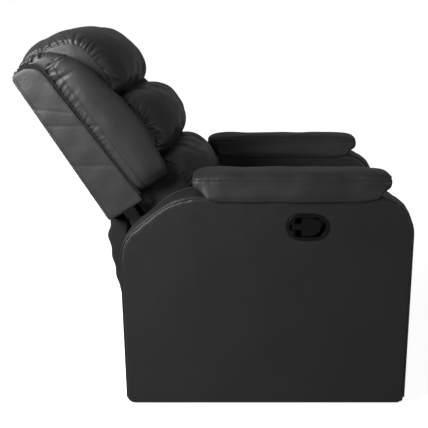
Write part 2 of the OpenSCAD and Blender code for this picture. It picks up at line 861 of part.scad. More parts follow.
module release_paddle() {
  pin_y = cup_y + paddle_pin_back;
  face = paddle_x + paddle_t / 2;
  play = 1.5;
  wide_r = pocket_h / 2 - play;
  wide_y = cup_y - pocket_l / 2 + finger_gap + wide_r;
  wide_l = 15;
  wide_end = cup_y + wide_l;
  color([0.02, 0.02, 0.02])
    difference() {
      union() {
        translate([paddle_x, pin_y, cup_z - stem_h / 2])
          cylinder(h = stem_h, r = barrel_r);
        translate([paddle_x - paddle_t / 2, 0, 0])
          rotate([90, 0, 90])
            linear_extrude(paddle_t) {
              translate([wide_end - over, cup_z - stem_h / 2])
                square([pin_y - wide_end + over, stem_h]);
              translate([wide_y, cup_z - wide_r])
                square([wide_end - wide_y, 2 * wide_r]);
              translate([wide_y, cup_z])
                circle(wide_r);
            }
      }
      translate([paddle_x, pin_y, cup_z - stem_h])
        cylinder(h = 2 * stem_h, r = paddle_pin_r + run_gap);
    }
}

// Cable from the cup's back wall, down inside the arm and out through the inner panel, where it
// turns forward to the latch lever
module elbow(r) {
  rotate_extrude(angle = 90)
    translate([r, 0]) circle(cable_r);
}
module release_cable() {
  cup_x = -arm_out_x + cup_depth;
  low_x = cable_x + cable_bend_r;
  exit_x = -plate_in_x;
  color([0.1, 0.1, 0.1])
    translate([0, cable_y, 0]) {
      translate([cup_x, 0, cup_z - cable_bend_r])
        rotate([90, 0, 0]) elbow(cable_bend_r);
      translate([cable_x, 0, cable_z + cable_bend_r])
        cylinder(h = cup_z - cable_z - 2 * cable_bend_r, r = cable_r);
      translate([low_x, 0, cable_z + cable_bend_r])
        rotate([90, 0, 0]) rotate([0, 0, 180]) elbow(cable_bend_r);
      translate([low_x, 0, cable_z])
        rotate([0, 90, 0]) cylinder(h = exit_x - low_x, r = cable_r);
      translate([exit_x, -cable_end_r, cable_z])
        elbow(cable_end_r);
      translate([exit_x + cable_end_r, -cable_end_r, cable_z])
        rotate([90, 0, 0]) cylinder(h = cable_end_l, r = cable_r);
    }
}

// Latch lever on the right mount plate, worked by the cable
module latch_lever() {
  color([0.5, 0.5, 0.5])
    difference() {
      union() {
        slab(right, layer_a - link_t, layer_a) {
          bar(latch_pin, latch_nose, latch_arm_r);
          bar(latch_pin, latch_arm, latch_arm_r);
        }
        pin(right, plate_in_x - cable_end_r - cable_r, layer_a - link_t / 2, small_pin_r, latch_arm);
      }
      pin(right, layer_a - 2 * link_t, layer_a + over, small_pin_r + run_gap, latch_pin);
    }
}

// Backrest
module back_frame() {
  front = back_rear_t + back_post_d;
  post_h = back_l - 0.75 * back_top_r;
  rail_low = back_l - over - back_cross_h;
  color("burlywood")
    on_back()
      difference() {
        translate([0, -front, 0]) {
          for (side = [right, left])
            translate([side > 0 ? post_in_x : -back_in_x, 0, 0])
              cube([back_post_w, back_post_d, post_h]);
          for (z = [0, rail_low])
            translate([-post_in_x - over, 0, z])
              cube([2 * (post_in_x + over), back_post_d, back_cross_h]);
        }
        // Slots that the two brackets are bolted in
        for (side = [right, left])
          slab(side, bracket_x - run_gap, bracket_x + bracket_t + run_gap)
            bar([-hinge_d, -hinge_drop], [-hinge_d, back_cross_h / 2], hinge_pad_r + run_gap);
      }
}

module back_straps() {
  low = back_cross_h;
  span = back_l - over - 2 * back_cross_h;
  color([0.25, 0.25, 0.25])
    on_back()
      for (i = [0 : strap_count - 1])
        translate([-post_in_x, -back_rear_t - back_post_d + strap_t,
                   low + span * (i + 1 / 2) / strap_count - strap_w / 2])
          cube([2 * post_in_x, strap_t, strap_w]);
}

// The side panel seen from the side, as [depth from the rear face, place along the backrest]
back_side_corners = [[0, 0], [0, back_l], [back_head_d, back_l], [back_foot_d, 0]];
back_side_radii = [6, 14, back_top_r, 6];
module back_panel(side) {
  outline = rounded(back_side_corners, back_side_radii);
  color([0.3, 0.3, 0.3])
    on_back()
      slab(side, back_in_x, back_in_x + back_side_t)
        polygon([for (p = outline) [-p[0], p[1]]]);
}

module back_rear_panel() {
  color([0.2, 0.2, 0.2])
    on_back()
      translate([-back_in_x, -back_rear_t, 0])
        cube([2 * back_in_x, back_rear_t, back_l - over]);
}

// Wing bolster in front of a side panel. Its stations run from its foot to its top: the place of
// the seam on the panel's straight edge as a share of its length, or the angle round its corner,
// then the free edge as shares of the wing's depth and length, and the share of its thickness.
wing_straight_shares = [
  [0.055, 0.88, 0.026, 0.5], [0.071, 0.921, 0.052, 0.82], [0.114, 0.951, 0.1, 0.96],
  [0.194, 0.977, 0.175, 1], [0.297, 1, 0.297, 1], [0.422, 0.993, 0.415, 1],
  [0.548, 0.954, 0.537, 1], [0.662, 0.894, 0.64, 1], [0.765, 0.852, 0.734, 1],
  [0.856, 0.787, 0.823, 1]
];
wing_corner_shares = [
  [12, 0.685, 0.904, 1], [34, 0.565, 0.956, 0.97], [54, 0.412, 0.991, 0.9],
  [72, 0.306, 0.998, 0.8], [88, 0.204, 0.993, 0.65], [98, 0.116, 0.976, 0.4]
];
// Its section as shares: across from the seam to the free edge, and through its thickness
wing_section_shares = [
  [0, 0.6], [0.08, 0.85], [0.25, 1], [0.5, 0.98], [0.72, 0.87], [0.88, 0.64], [0.97, 0.32],
  [1, 0], [0.97, -0.32], [0.88, -0.64], [0.72, -0.87], [0.5, -0.98], [0.25, -1], [0.08, -0.85],
  [0, -0.6]
];
// Distance that a wing stands out beside the side panel
wing_out = 6;
// Half of the largest step between two stations round the corner
corner_half_step = 11;
function panel_depth(s) = back_foot_d + (back_head_d - back_foot_d) * s / back_l;
module wing(side) {
  r = back_top_r;
  top = back_l - r;
  middle = [panel_depth(top) - r, top];
  seam_r = r / cos(corner_half_step) + soft_gap;
  stations = [
    for (w = wing_straight_shares)
      [[panel_depth(w[0] * back_l) + soft_gap, w[0] * back_l], [w[1] * wing_d, w[2] * wing_l], w[3]],
    for (w = wing_corner_shares)
      [middle + seam_r * [cos(w[0]), sin(w[0])], [w[1] * wing_d, w[2] * wing_l], w[3]]
  ];
  color([0.24, 0.24, 0.24])
    on_back()
      translate([side * (back_w / 2 + wing_out - wing_t / 2), 0, 0])
        skin([for (q = stations)
          [for (c = wing_section_shares)
            let (p = q[0] + c[0] * (q[1] - q[0]))
            [c[1] * q[2] * wing_t / 2, -p[0], p[1]]]]);
}

module back_bracket(side) {
  foot = [-hinge_d, -hinge_drop];
  top = [-hinge_d, back_cross_h / 2];
  color([0.35, 0.35, 0.36])
    on_back()
      difference() {
        slab(side, bracket_x, bracket_x + bracket_t)
          bar(foot, top, hinge_pad_r);
        pin(side, bracket_x - over, bracket_x + bracket_t + over, 2 * pin_r + run_gap, foot);
      }
}

// Linkage that carries the footrest
module rear_link(side) {
  tail = plate_pin + unit(plate_pin - knee_pin) * latch_tail_l;
  color([0.55, 0.55, 0.56])
    difference() {
      union() {
        slab(side, layer_b - link_t, layer_b) {
          bar(plate_pin, knee_pin, rear_link_r);
          bar(plate_pin, tail, 0.75 * rear_link_r);
        }
        // Stud that the latch lever holds
        if (side == right)
          pin(side, layer_b - link_t / 2, layer_a, small_pin_r, tail);
      }
      for (p = [plate_pin, knee_pin])
        pin(side, layer_b - 2 * link_t, layer_b + over, pin_r + run_gap, p);
      pin(side, layer_b - 2 * link_t, layer_b + over, small_pin_r + run_gap, tilt_low_pin);
    }
}

module link_cross_tube() {
  reach = layer_b - link_t;
  color([0.5, 0.5, 0.5])
    translate([-reach, cross_tube_at[0], cross_tube_at[1]])
      rotate([0, 90, 0])
        difference() {
          cylinder(h = 2 * reach, r = cross_tube_r);
          translate([0, 0, -over])
            cylinder(h = 2 * (reach + over), r = cross_tube_r - cross_tube_wall);
        }
}

module rear_link_pins() {
  color("silver")
    for (side = [right, left]) {
      pin(side, layer_c - link_t - link_gap, layer_b, pin_r, knee_pin);
      pin(side, layer_c - link_t - 3 * link_gap, layer_c - link_t - link_gap / 2, 1.4 * pin_r, knee_pin);
      pin(side, layer_e - link_t, layer_b, small_pin_r, tilt_low_pin);
      pin(side, layer_e + link_gap, layer_b - link_t - link_gap / 2, 1.5 * small_pin_r, tilt_low_pin);
    }
}

module front_link(side) {
  color([0.55, 0.55, 0.56])
    difference() {
      slab(side, layer_c - link_t, layer_c)
        union() {
          bar(knee_pin, foot_pin, front_link_r);
          bar(knee_pin, tail_pin, small_pin_r + tail_play + link_t);
        }
      for (p = [knee_pin, foot_pin])
        pin(side, layer_c - 2 * link_t, layer_c + over, pin_r + run_gap, p);
      pin(side, layer_c - 2 * link_t, layer_c + over, small_pin_r + tail_play, tail_pin);
    }
}

module front_link_pins() {
  color("silver")
    for (side = [right, left])
      pin(side, layer_d - link_t, layer_c, pin_r, foot_pin);
}

module control_link(side) {
  color([0.5, 0.5, 0.5])
    difference() {
      union() {
        slab(side, layer_a - link_t, layer_a)
          bar(control_pin, tail_pin, slim_link_r);
        pin(side, layer_c - link_t, layer_a - link_t / 2, small_pin_r, tail_pin);
      }
      pin(side, layer_a - 2 * link_t, layer_a + over, pin_r + run_gap, control_pin);
    }
}

module tilt_link(side) {
  color([0.5, 0.5, 0.5])
    difference() {
      union() {
        slab(side, layer_e - link_t, layer_e)
          bar(tilt_low_pin, tilt_high_pin, slim_link_r);
        pin(side, layer_e - link_t / 2, layer_d, small_pin_r, tilt_high_pin);
      }
      pin(side, layer_e - 2 * link_t, layer_e + over, small_pin_r + run_gap, tilt_low_pin);
    }
}

// Footrest
module footrest_board() {
  margin = 5;
  color("burlywood")
    translate([-foot_w / 2, foot_board_y - foot_board_t, foot_low + margin])
      cube([foot_w, foot_board_t, foot_l - 2 * margin]);
}

foot_pad_radii = [34, 34, 8, 8];
module footrest_pad() {
  place_shares = [-1, -0.985, -0.94, -0.8, -0.5, 0, 0.5, 0.8, 0.94, 0.985, 1];
  draw_shares = [1, 0.7, 0.42, 0.16, 0.04, 0, 0.04, 0.16, 0.42, 0.7, 1];
  rear_y = foot_board_y - foot_board_t - soft_gap;
  front_y = rear_y - foot_pad_t;
  mid_z = foot_low + foot_l / 2;
  side_draw = 24;
  end_draw = 8;
  outline = rounded([
    [front_y, foot_low],
    [front_y, foot_low + foot_l],
    [rear_y, foot_low + foot_l],
    [rear_y, foot_low]
  ], foot_pad_radii);
  color([0.18, 0.18, 0.18])
    skin([for (i = [len(place_shares) - 1 : -1 : 0])
      [for (p = outline)
        let (k = draw_shares[i])
        [
          place_shares[i] * foot_w / 2,
          p[0] + side_draw * k * (rear_y - p[0]) / foot_pad_t,
          p[1] + end_draw * k * (mid_z - p[1]) / (foot_l / 2)
        ]]]);
}

module foot_bracket(side) {
  flange_w = 26;
  flange_drop = 65;
  web_in = 18;
  radii = [1, 1, 14, 14];
  low = foot_pin[1] - flange_drop;
  high = tilt_high_pin[1] + small_pin_r + tilt_play + link_t;
  web_y = foot_pin[0] + web_in;
  color([0.4, 0.4, 0.41])
    difference() {
      union() {
        slab(side, layer_d - link_t, layer_d)
          polygon(rounded([
            [foot_board_y, low],
            [foot_board_y, high],
            [web_y, high],
            [web_y, foot_pin[1] - web_in]
          ], radii));
        slab(side, layer_d - flange_w, layer_d)
          translate([foot_board_y, low]) square([link_t, high - low]);
      }
      pin(side, layer_d - 2 * link_t, layer_d + over, pin_r + run_gap, foot_pin);
      pin(side, layer_d - 2 * link_t, layer_d + over, small_pin_r + tilt_play, tilt_high_pin);
    }
}

arm_frame(right);  // right_arm_frame
arm_frame(left);  // left_arm_frame
outer_panel(right);  // right_arm_outer_panel
outer_panel(left);  // left_arm_outer_panel
inner_panel(right);  // right_arm_inner_panel
inner_panel(left);  // left_arm_inner_panel
band(right, front_path, band_crown);  // right_arm_front_band
band(left, front_path, band_crown);  // left_arm_front_band
band(right, rear_path, rear_band_crown);  // right_arm_rear_band
band(left, rear_path, rear_band_crown);  // left_arm_rear_band
arm_pad(right);  // right_arm_pad
arm_pad(left);  // left_arm_pad
glides();
base_front_rail();
base_rear_rail();
rear_skirt();
mount_plate(right);  // right_mount_plate
mount_plate(left);  // left_mount_plate
mount_bolts();
plate_pivots();
back_pivots();
seat_tubes();
seat_box();
seat_springs();
seat_cushion();
handle_cup();
paddle_pin();
release_cable();
release_paddle();
latch_lever();
back_frame();
back_straps();
back_panel(right);  // right_back_panel
back_panel(left);  // left_back_panel
back_rear_panel();
wing(right);  // right_wing
wing(left);  // left_wing
head_pillow();
middle_pillow();
lumbar_pillow();
back_bracket(right);  // right_back_bracket
back_bracket(left);  // left_back_bracket
rear_link(right);  // right_rear_link
rear_link(left);  // left_rear_link
link_cross_tube();
rear_link_pins();
front_link(right);  // right_front_link
front_link(left);  // left_front_link
front_link_pins();
control_link(right);  // right_control_link
control_link(left);  // left_control_link
tilt_link(right);  // right_tilt_link
tilt_link(left);  // left_tilt_link
footrest_board();
footrest_pad();
foot_bracket(right);  // right_foot_bracket
foot_bracket(left);  // left_foot_bracket
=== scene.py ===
"""Upholstery, trim, finishes, light and camera of a recliner armchair with a pull handle."""

import json
import math

import bmesh
import bpy
import numpy as np
from bpy.props import FloatProperty, FloatVectorProperty, PointerProperty
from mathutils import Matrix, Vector
from mathutils.bvhtree import BVHTree


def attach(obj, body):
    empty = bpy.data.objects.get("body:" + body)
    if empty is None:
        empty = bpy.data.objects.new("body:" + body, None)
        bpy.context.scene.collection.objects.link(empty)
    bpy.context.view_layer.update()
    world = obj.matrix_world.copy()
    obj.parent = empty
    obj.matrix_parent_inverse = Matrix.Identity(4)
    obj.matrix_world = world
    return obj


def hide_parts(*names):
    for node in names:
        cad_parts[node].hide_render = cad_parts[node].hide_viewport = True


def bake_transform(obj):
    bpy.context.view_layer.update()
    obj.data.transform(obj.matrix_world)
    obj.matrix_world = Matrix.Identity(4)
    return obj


bl_info = {
    "name": "Recliner armchair dressing",
    "version": (1, 0, 0),
    "blender": (4, 5, 0),
    "location": "View3D > Sidebar > Armchair",
    "description": "Upholstery, trim and finishes of a recliner armchair, with its stage",
    "category": "Object",
}

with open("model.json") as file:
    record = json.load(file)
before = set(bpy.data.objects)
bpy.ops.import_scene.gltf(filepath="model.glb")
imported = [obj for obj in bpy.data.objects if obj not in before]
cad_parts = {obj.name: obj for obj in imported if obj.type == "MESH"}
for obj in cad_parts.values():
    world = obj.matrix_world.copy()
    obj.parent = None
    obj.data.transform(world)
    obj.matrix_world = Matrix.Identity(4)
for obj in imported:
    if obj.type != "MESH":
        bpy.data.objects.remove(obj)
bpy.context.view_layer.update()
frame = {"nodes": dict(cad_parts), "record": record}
NODES = frame["nodes"]
BASE, BACK, FOOT = "chair_base", "backrest", "footrest"
SIDES = {"right": -1, "left": 1}

# The backrest's own axes: its foot on the rear face, and its lean
BACK_AT = np.array([0.0, 0.279, 0.480])
LEAN = math.radians(31.7)
COS, SIN = math.cos(LEAN), math.sin(LEAN)

# The arms' side panels: corners as (y, z), their radii, and where the two faces lie
ARM_CORNERS = [
    (-0.499, 0.006), (-0.499, 0.566), (0.096, 0.566), (0.236, 0.453), (0.236, 0.006)]
ARM_RADII = [0.012, 0.095, 0.180, 0.095, 0.012]
ARM_OUT, ARM_IN = 0.385, 0.245

# The arm pads: their middle, half their width and length, and the heights of the
# groove round them and of the stitches above it
PAD_X, PAD_Y = 0.315, -0.1955
PAD_HALF_WIDE, PAD_HALF_LONG = 0.074, 0.2535
PAD_GROOVE, PAD_STITCHES = 0.609, 0.6135

# The seam between a wing and its side panel, in the backrest's axes: its depth at the
# foot, what it loses on the way up, and where it turns over the backrest's top
SEAM_FOOT, SEAM_TAPER, SEAM_TOP = 0.109, 0.073, 0.438
# How far the stitched lines run in front of that seam and of the rear face
WING_STITCHES, SHELL_STITCHES = 0.029, 0.009

# Half a back pillow's width, and the sectors that its ends' outline is measured in
PILLOW_HALF = 0.234
SECTORS = 90

# Waves that add up to a ripple, and the frames that a cushion takes to fill
RIPPLE_WAVES = 24
FILLING_FRAMES = 20

# Gathers: the room between two folds, then a fold's width, length and depth
PILLOW_GATHERS = {
    "spacing": (0.010, 0.026), "width": (0.0026, 0.0050), "length": (0.025, 0.095)}
WING_GATHERS = {
    "spacing": (0.009, 0.015), "width": (0.0024, 0.0040), "length": (0.026, 0.036),
    "depth": (0.0025, 0.0052)}
WING_TOP_GATHERS = {
    "spacing": (0.016, 0.030), "width": (0.0035, 0.0060), "length": (0.045, 0.085),
    "depth": (0.003, 0.0065)}
PAD_GATHERS = {
    "spacing": (0.012, 0.024), "width": (0.002, 0.004), "length": (0.015, 0.045),
    "depth": (0.0005, 0.0014)}

# Soft creases over the backrest's side panels: where each starts, and its slope
SHELL_CREASES = ((0.345, -0.75), (0.295, -0.6), (0.175, -0.6))

# The camera, fitted to the photographed chair's outline
LENS, SENSOR, SHIFT = 58.88, 36, (-0.0893, 0.0047)
CAMERA_AT, PITCH = (-2.060, -0.096, 0.967), math.radians(14.89)


# Numbers and points


def to_back(p):
    """World points as (x, depth in front of the rear face, place along the backrest)."""
    y, z = p[:, 1] - BACK_AT[1], p[:, 2] - BACK_AT[2]
    return np.stack([p[:, 0], -(y * COS - z * SIN), y * SIN + z * COS], 1)


def from_back(p):
    """The reverse of to_back."""
    p = np.asarray(p, float).reshape(-1, 3)
    y, z = -p[:, 1], p[:, 2]
    return np.stack(
        [p[:, 0], y * COS + z * SIN + BACK_AT[1], -y * SIN + z * COS + BACK_AT[2]], 1)


def seam_depth(s):
    """Depth of the seam between a wing and its side panel, s up the backrest."""
    return SEAM_FOOT - SEAM_TAPER * s


def ripple(p, rng, size):
    """A smooth random height of about unit strength, with waves about size long."""
    out = np.zeros(len(p))
    for _ in range(RIPPLE_WAVES):
        way = rng.normal(size=3)
        way *= rng.uniform(0.6, 1.6) * 2 * math.pi / size / np.linalg.norm(way)
        out += np.sin(p @ way + rng.uniform(0, 2 * math.pi))
    return out / math.sqrt(RIPPLE_WAVES)


def bump_at(d, width):
    """One at d = 0, fading to nothing a width away."""
    return np.exp(-((d / width) ** 2))


def smooth_step(v, low, high):
    """From 0 at low to 1 at high, with soft ends."""
    t = np.clip((v - low) / (high - low), 0, 1)
    return t * t * (3 - 2 * t)


def pleats(u, d, rng, spacing, width, length, depth):
    """Depth of short folds that start at d = 0 and run inwards, side by side along u."""
    out = np.zeros_like(u)
    at, last = u.min(), u.max()
    while at < last:
        wide, long = rng.uniform(*width), rng.uniform(*length)
        deep, lean = rng.uniform(*depth), rng.uniform(-0.4, 0.4)
        fade = np.clip(1 - d / long, 0, 1) ** 1.3 * smooth_step(d, -0.003, 0.004)
        spread = wide * (1 + 0.8 * np.clip(d / long, 0, 1))
        out += deep * fade * bump_at(u - at - lean * np.clip(d, 0, None), spread)
        at += rng.uniform(*spacing)
    return out


def fillet_path(corners, radii, steps):
    """A closed outline with rounded corners, as an array of (y, z)."""
    out = []
    n = len(corners)
    for i in range(n):
        a, b, c = (np.array(corners[(i + k) % n], float) for k in (-1, 0, 1))
        u, v = (a - b) / np.linalg.norm(a - b), (c - b) / np.linalg.norm(c - b)
        half = math.acos(float(u @ v)) / 2
        middle = b + (u + v) / np.linalg.norm(u + v) * radii[i] / math.sin(half)
        first = b + u * radii[i] / math.tan(half) - middle
        last = b + v * radii[i] / math.tan(half) - middle
        start = math.atan2(first[1], first[0])
        turn = math.atan2(first[0] * last[1] - first[1] * last[0], float(first @ last))
        for k in range(steps + 1):
            angle = start + turn * k / steps
            out.append(middle + radii[i] * np.array([math.cos(angle), math.sin(angle)]))
    return np.array(out)


def resampled(path, step):
    """Points a step apart along a path. Columns after the third one come along."""
    path = np.asarray(path, float)
    parts = np.linalg.norm(np.diff(path[:, :3], axis=0), axis=1)
    gone = np.concatenate([[0], np.cumsum(parts)])
    at = np.linspace(0, gone[-1], max(2, int(round(gone[-1] / step)) + 1))
    return np.stack([np.interp(at, gone, column) for column in path.T], 1)


# Meshes


def points_of(obj):
    co = np.zeros(len(obj.data.vertices) * 3)
    obj.data.vertices.foreach_get("co", co)
    return co.reshape(-1, 3)


def normals_of(obj):
    n = np.zeros(len(obj.data.vertices) * 3)
    obj.data.vertex_normals.foreach_get("vector", n)
    return n.reshape(-1, 3)


def set_points(obj, co):
    obj.data.vertices.foreach_set("co", np.asarray(co, np.float64).ravel())
    obj.data.update()


def add_object(name, data):
    obj = bpy.data.objects.new(name, data)
    bpy.context.scene.collection.objects.link(obj)
    return obj


def from_bmesh(name, bm):
    mesh = bpy.data.meshes.new(name)
    bm.to_mesh(mesh)
    bm.free()
    return add_object(name, mesh)


def evaluated(obj):
    """Replaces an object's mesh by what its modifiers make of it."""
    graph = bpy.context.evaluated_depsgraph_get()
    mesh = bpy.data.meshes.new_from_object(obj.evaluated_get(graph))
    obj.modifiers.clear()
    old = obj.data
    obj.data = mesh
    mesh.name = obj.name
    bpy.data.meshes.remove(old)
    return obj


def smoothed(obj, rounds):
    bm = bmesh.new()
    bm.from_mesh(obj.data)
    for _ in range(rounds):
        bmesh.ops.smooth_vert(
            bm, verts=bm.verts, factor=0.5, use_axis_x=True, use_axis_y=True, use_axis_z=True)
    bm.to_mesh(obj.data)
    bm.free()
    return obj


def covered(node, voxel, rounds=3, ending="_cover"):
    """A closed, even mesh of quads over a CAD node, named after it."""
    bm = bmesh.new()
    bm.from_mesh(NODES[node].data)
    bmesh.ops.remove_doubles(bm, verts=bm.verts, dist=1e-6)
    bmesh.ops.recalc_face_normals(bm, faces=bm.faces)
    obj = from_bmesh(node + ending, bm)
    remesh = obj.modifiers.new("even", "REMESH")
    remesh.mode = "VOXEL"
    remesh.voxel_size = voxel
    evaluated(obj)
    return smoothed(obj, rounds)


def subdivided(obj):
    more = obj.modifiers.new("finer", "SUBSURF")
    more.levels = more.render_levels = 1
    return evaluated(obj)


def puffed(obj, pressure, cap, held, shrink):
    """Blows a closed cover up from a slightly smaller shape.

    No point moves further than cap, and those where held is over a half stay.
    """
    start = points_of(obj)
    small = start - normals_of(obj) * shrink * (1 - held)[:, None]
    set_points(obj, small)
    group = obj.vertex_groups.new(name="held")
    for i in np.nonzero(held > 0.5)[0]:
        group.add([int(i)], 1.0, "REPLACE")
    cover = obj.modifiers.new("cloth", "CLOTH")
    cover.settings.quality = 4
    cover.settings.mass = 0.25
    cover.settings.tension_stiffness = cover.settings.compression_stiffness = 18
    cover.settings.shear_stiffness = 8
    cover.settings.bending_stiffness = 1.5
    cover.settings.use_pressure = True
    cover.settings.uniform_pressure_force = pressure
    cover.settings.effector_weights.gravity = 0
    cover.settings.vertex_group_mass = "held"
    cover.point_cache.frame_start, cover.point_cache.frame_end = 1, FILLING_FRAMES
    for f in range(1, FILLING_FRAMES + 1):
        bpy.context.scene.frame_set(f)
    evaluated(obj)
    obj.vertex_groups.clear()
    bpy.context.scene.frame_set(1)
    move = points_of(obj) - small
    far = np.linalg.norm(move, axis=1)
    move *= np.minimum(1, cap / np.maximum(far, 1e-9))[:, None]
    set_points(obj, small + move)
    return smoothed(obj, 2)


def tube(name, lines, radius):
    """Round cords, beads or threads along each of the lines, as one mesh."""
    curve = bpy.data.curves.new(name, "CURVE")
    curve.dimensions = "3D"
    curve.bevel_depth = radius
    curve.bevel_resolution = 1
    curve.use_fill_caps = True
    for points in lines:
        line = curve.splines.new("POLY")
        line.points.add(len(points) - 1)
        for k, p in enumerate(points):
            line.points[k].co = (*p, 1)
    maker = add_object(name + "_line", curve)
    graph = bpy.context.evaluated_depsgraph_get()
    mesh = bpy.data.meshes.new_from_object(maker.evaluated_get(graph))
    bpy.data.objects.remove(maker)
    bpy.data.curves.remove(curve)
    return add_object(name, mesh)


def laid_on(cover, points, lift=0.0001):
    """Points moved to the nearest place of a cover, lift above it, with the normals there."""
    bm = bmesh.new()
    bm.from_mesh(bpy.data.objects[cover].data)
    tree = BVHTree.FromBMesh(bm)
    bm.free()
    out, ups = [], []
    for p in points:
        place, up, _, _ = tree.find_nearest(Vector(p))
        out.append(place + up * lift)
        ups.append(up)
    return np.array(out), np.array(ups)


def stitches(name, paths, length, gap, radius):
    """Short threads along paths, each path given as (points, normals)."""
    lines = []
    for points, ups in paths:
        line = resampled(np.hstack([points, ups]), length + gap)
        for a, b in zip(line[:-1], line[1:]):
            at, way, up = a[:3], (b - a)[:3], a[3:] * radius
            lines.append([at - up, at + 0.15 * way + up, at + 0.6 * way + up,
                          at + 0.75 * way - up])
    return tube(name, lines, radius)


# Materials


class Sock:
    """A shader socket that can be used in sums."""

    def __init__(self, net, out):
        self.net, self.out = net, out

    def sum(self, operation, a, b):
        return self.net.node("ShaderNodeMath", {"operation": operation}, {0: a, 1: b})

    def __add__(self, other):
        return self.sum("ADD", self, other)

    def __sub__(self, other):
        return self.sum("SUBTRACT", self, other)

    def __rsub__(self, other):
        return self.sum("SUBTRACT", other, self)

    def __mul__(self, other):
        return self.sum("MULTIPLY", self, other)

    __radd__, __rmul__ = __add__, __mul__


class Net:
    """The nodes of one material, or of the world."""

    def __init__(self, name, owner=None):
        self.owner = owner or bpy.data.materials.new(name)
        self.owner.use_nodes = True
        self.tree = self.owner.node_tree
        self.tree.nodes.clear()
        self.place = self.node("ShaderNodeTexCoord", out="Object")

    def node(self, kind, settings=None, values=None, out=0):
        """Adds a node with its settings and the values or links of its sockets."""
        n = self.tree.nodes.new(kind)
        for key, value in (settings or {}).items():
            if key == "stops":
                ramp = n.color_ramp.elements
                while len(ramp) < len(value):
                    ramp.new(0.5)
                for element, (at, shade) in zip(ramp, value):
                    element.position = at
                    element.color = (shade, shade, shade, 1)
            else:
                setattr(n, key, value)
        for key, value in (values or {}).items():
            if isinstance(value, Sock):
                self.tree.links.new(value.out, n.inputs[key])
            else:
                n.inputs[key].default_value = value
        return Sock(self, n.outputs[out]) if len(n.outputs) else n

    def seen(self):
        """1 for the camera's rays, a share for those of mirrors and glass, 0 for the rest."""
        camera, glossy, glass = (
            self.node("ShaderNodeLightPath", out=f"Is {kind} Ray")
            for kind in ("Camera", "Glossy", "Transmission"))
        return camera + (glossy + glass) * bpy.context.scene.chair_stage.mirrored

    def scaled(self, x, y, z):
        return self.node(
            "ShaderNodeVectorMath", {"operation": "MULTIPLY"}, {0: self.place, 1: (x, y, z)})

    def noise(self, scale, detail=3, place=None, roughness=0.5):
        return self.node("ShaderNodeTexNoise", values={
            "Vector": place or self.place, "Scale": scale, "Detail": detail,
            "Roughness": roughness})

    def cells(self, scale):
        return self.node(
            "ShaderNodeTexVoronoi", {"feature": "DISTANCE_TO_EDGE"},
            {"Vector": self.place, "Scale": scale})

    def bands(self, direction, place, scale, distortion, detail):
        return self.node(
            "ShaderNodeTexWave", {"bands_direction": direction},
            {"Vector": place, "Scale": scale, "Distortion": distortion, "Detail": detail})

    def ramp(self, value, stops):
        return self.node("ShaderNodeValToRGB", {"stops": stops}, {0: value})

    def blend(self, factor, a, b):
        """A colour between a and b."""
        return self.node(
            "ShaderNodeMix", {"data_type": "RGBA"}, {0: factor, 6: (*a, 1), 7: (*b, 1)}, out=2)

    def bump(self, height, strength, distance, normal=None):
        values = {"Strength": strength, "Distance": distance, "Height": height}
        if normal:
            values["Normal"] = normal
        return self.node("ShaderNodeBump", values=values)

    def finish(self, color, roughness, normal, **fixed):
        """Closes the material. fixed are numbers that are the same all over the surface."""
        values = {"Base Color": color, "Roughness": roughness, "Normal": normal}
        for key, value in fixed.items():
            values[key.replace("_", " ").title().replace("Ior", "IOR")] = value
        shader = self.node("ShaderNodeBsdfPrincipled", values=values)
        self.node("ShaderNodeOutputMaterial", values={"Surface": shader})
        return self.owner

    def seen_finish(self, output, plain, white):
        """Closes a net that is white where it is seen and plain as a source of light."""
        both = self.node("ShaderNodeMixShader", values={0: self.seen(), 1: plain, 2: white})
        self.node(output, values={"Surface": both})
        return self.owner


def shades(color, dark, pale):
    """Two shades of a colour, for blends."""
    return tuple(c * dark for c in color), tuple(c * pale for c in color)


def leather(name, painted_light_scale=1.0, rougher=0.0):
    """Black upholstery leather: fine cells, soft creases and a slightly uneven sheen."""
    look = bpy.context.scene.chair_look
    net = Net(name)
    # painted_light_scale brightens or darkens the colour, as painted light or shade; at 1.0 it
    # is the leather's own colour
    color = net.blend(net.noise(5, 2), *shades(look.leather_color, 0.8 * painted_light_scale, 1.25 * painted_light_scale))
    cells = net.ramp(net.cells(look.grain_count), [(0.0, 0.0), (0.12, 1.0)])
    shift = net.node(
        "ShaderNodeVectorMath", {"operation": "SCALE"}, {0: net.noise(9, 2), "Scale": 0.05})
    warped = net.node(
        "ShaderNodeVectorMath", {"operation": "ADD"}, {0: net.place, 1: shift})
    creases = net.ramp(net.noise(26, 4, warped, 0.62), [(0.47, 0.0), (0.5, 1.0), (0.53, 0.0)])
    normal = net.bump(cells, 0.22, 0.0004)
    normal = net.bump(creases, 0.10, 0.0012, normal)
    normal = net.bump(net.noise(14, 3), 0.25, 0.004, normal)
    roughness = (look.leather_roughness + rougher) + 0.14 * net.noise(30, 3) - 0.05 * creases
    return net.finish(color, roughness, normal, specular_ior_level=0.28)


def cloth(name, color, threads, roughness=0.9):
    """Plain woven cloth."""
    net = Net(name)
    warp, weft = (net.bands(way, net.place, threads, 0.4, 1.0) for way in "XZ")
    weave = warp * weft
    normal = net.bump(weave, 0.5, 0.0006)
    shade = net.blend(net.noise(18, 4), *shades(color, 0.7, 1.3))
    return net.finish(shade, roughness + 0.05 * weave, normal, specular_ior_level=0.2)


def wood(name, early, late):
    """Softwood with its grain, bare or stained."""
    net = Net(name)
    rings = net.bands("X", net.scaled(1, 0.25, 0.25), 22, 6, 3)
    fibres = net.noise(120, 4, net.scaled(1, 0.08, 0.08))
    color = net.blend(rings * 0.7 + fibres * 0.3, early, late)
    return net.finish(color, 0.62 + 0.2 * fibres, net.bump(fibres, 0.2, 0.0006))


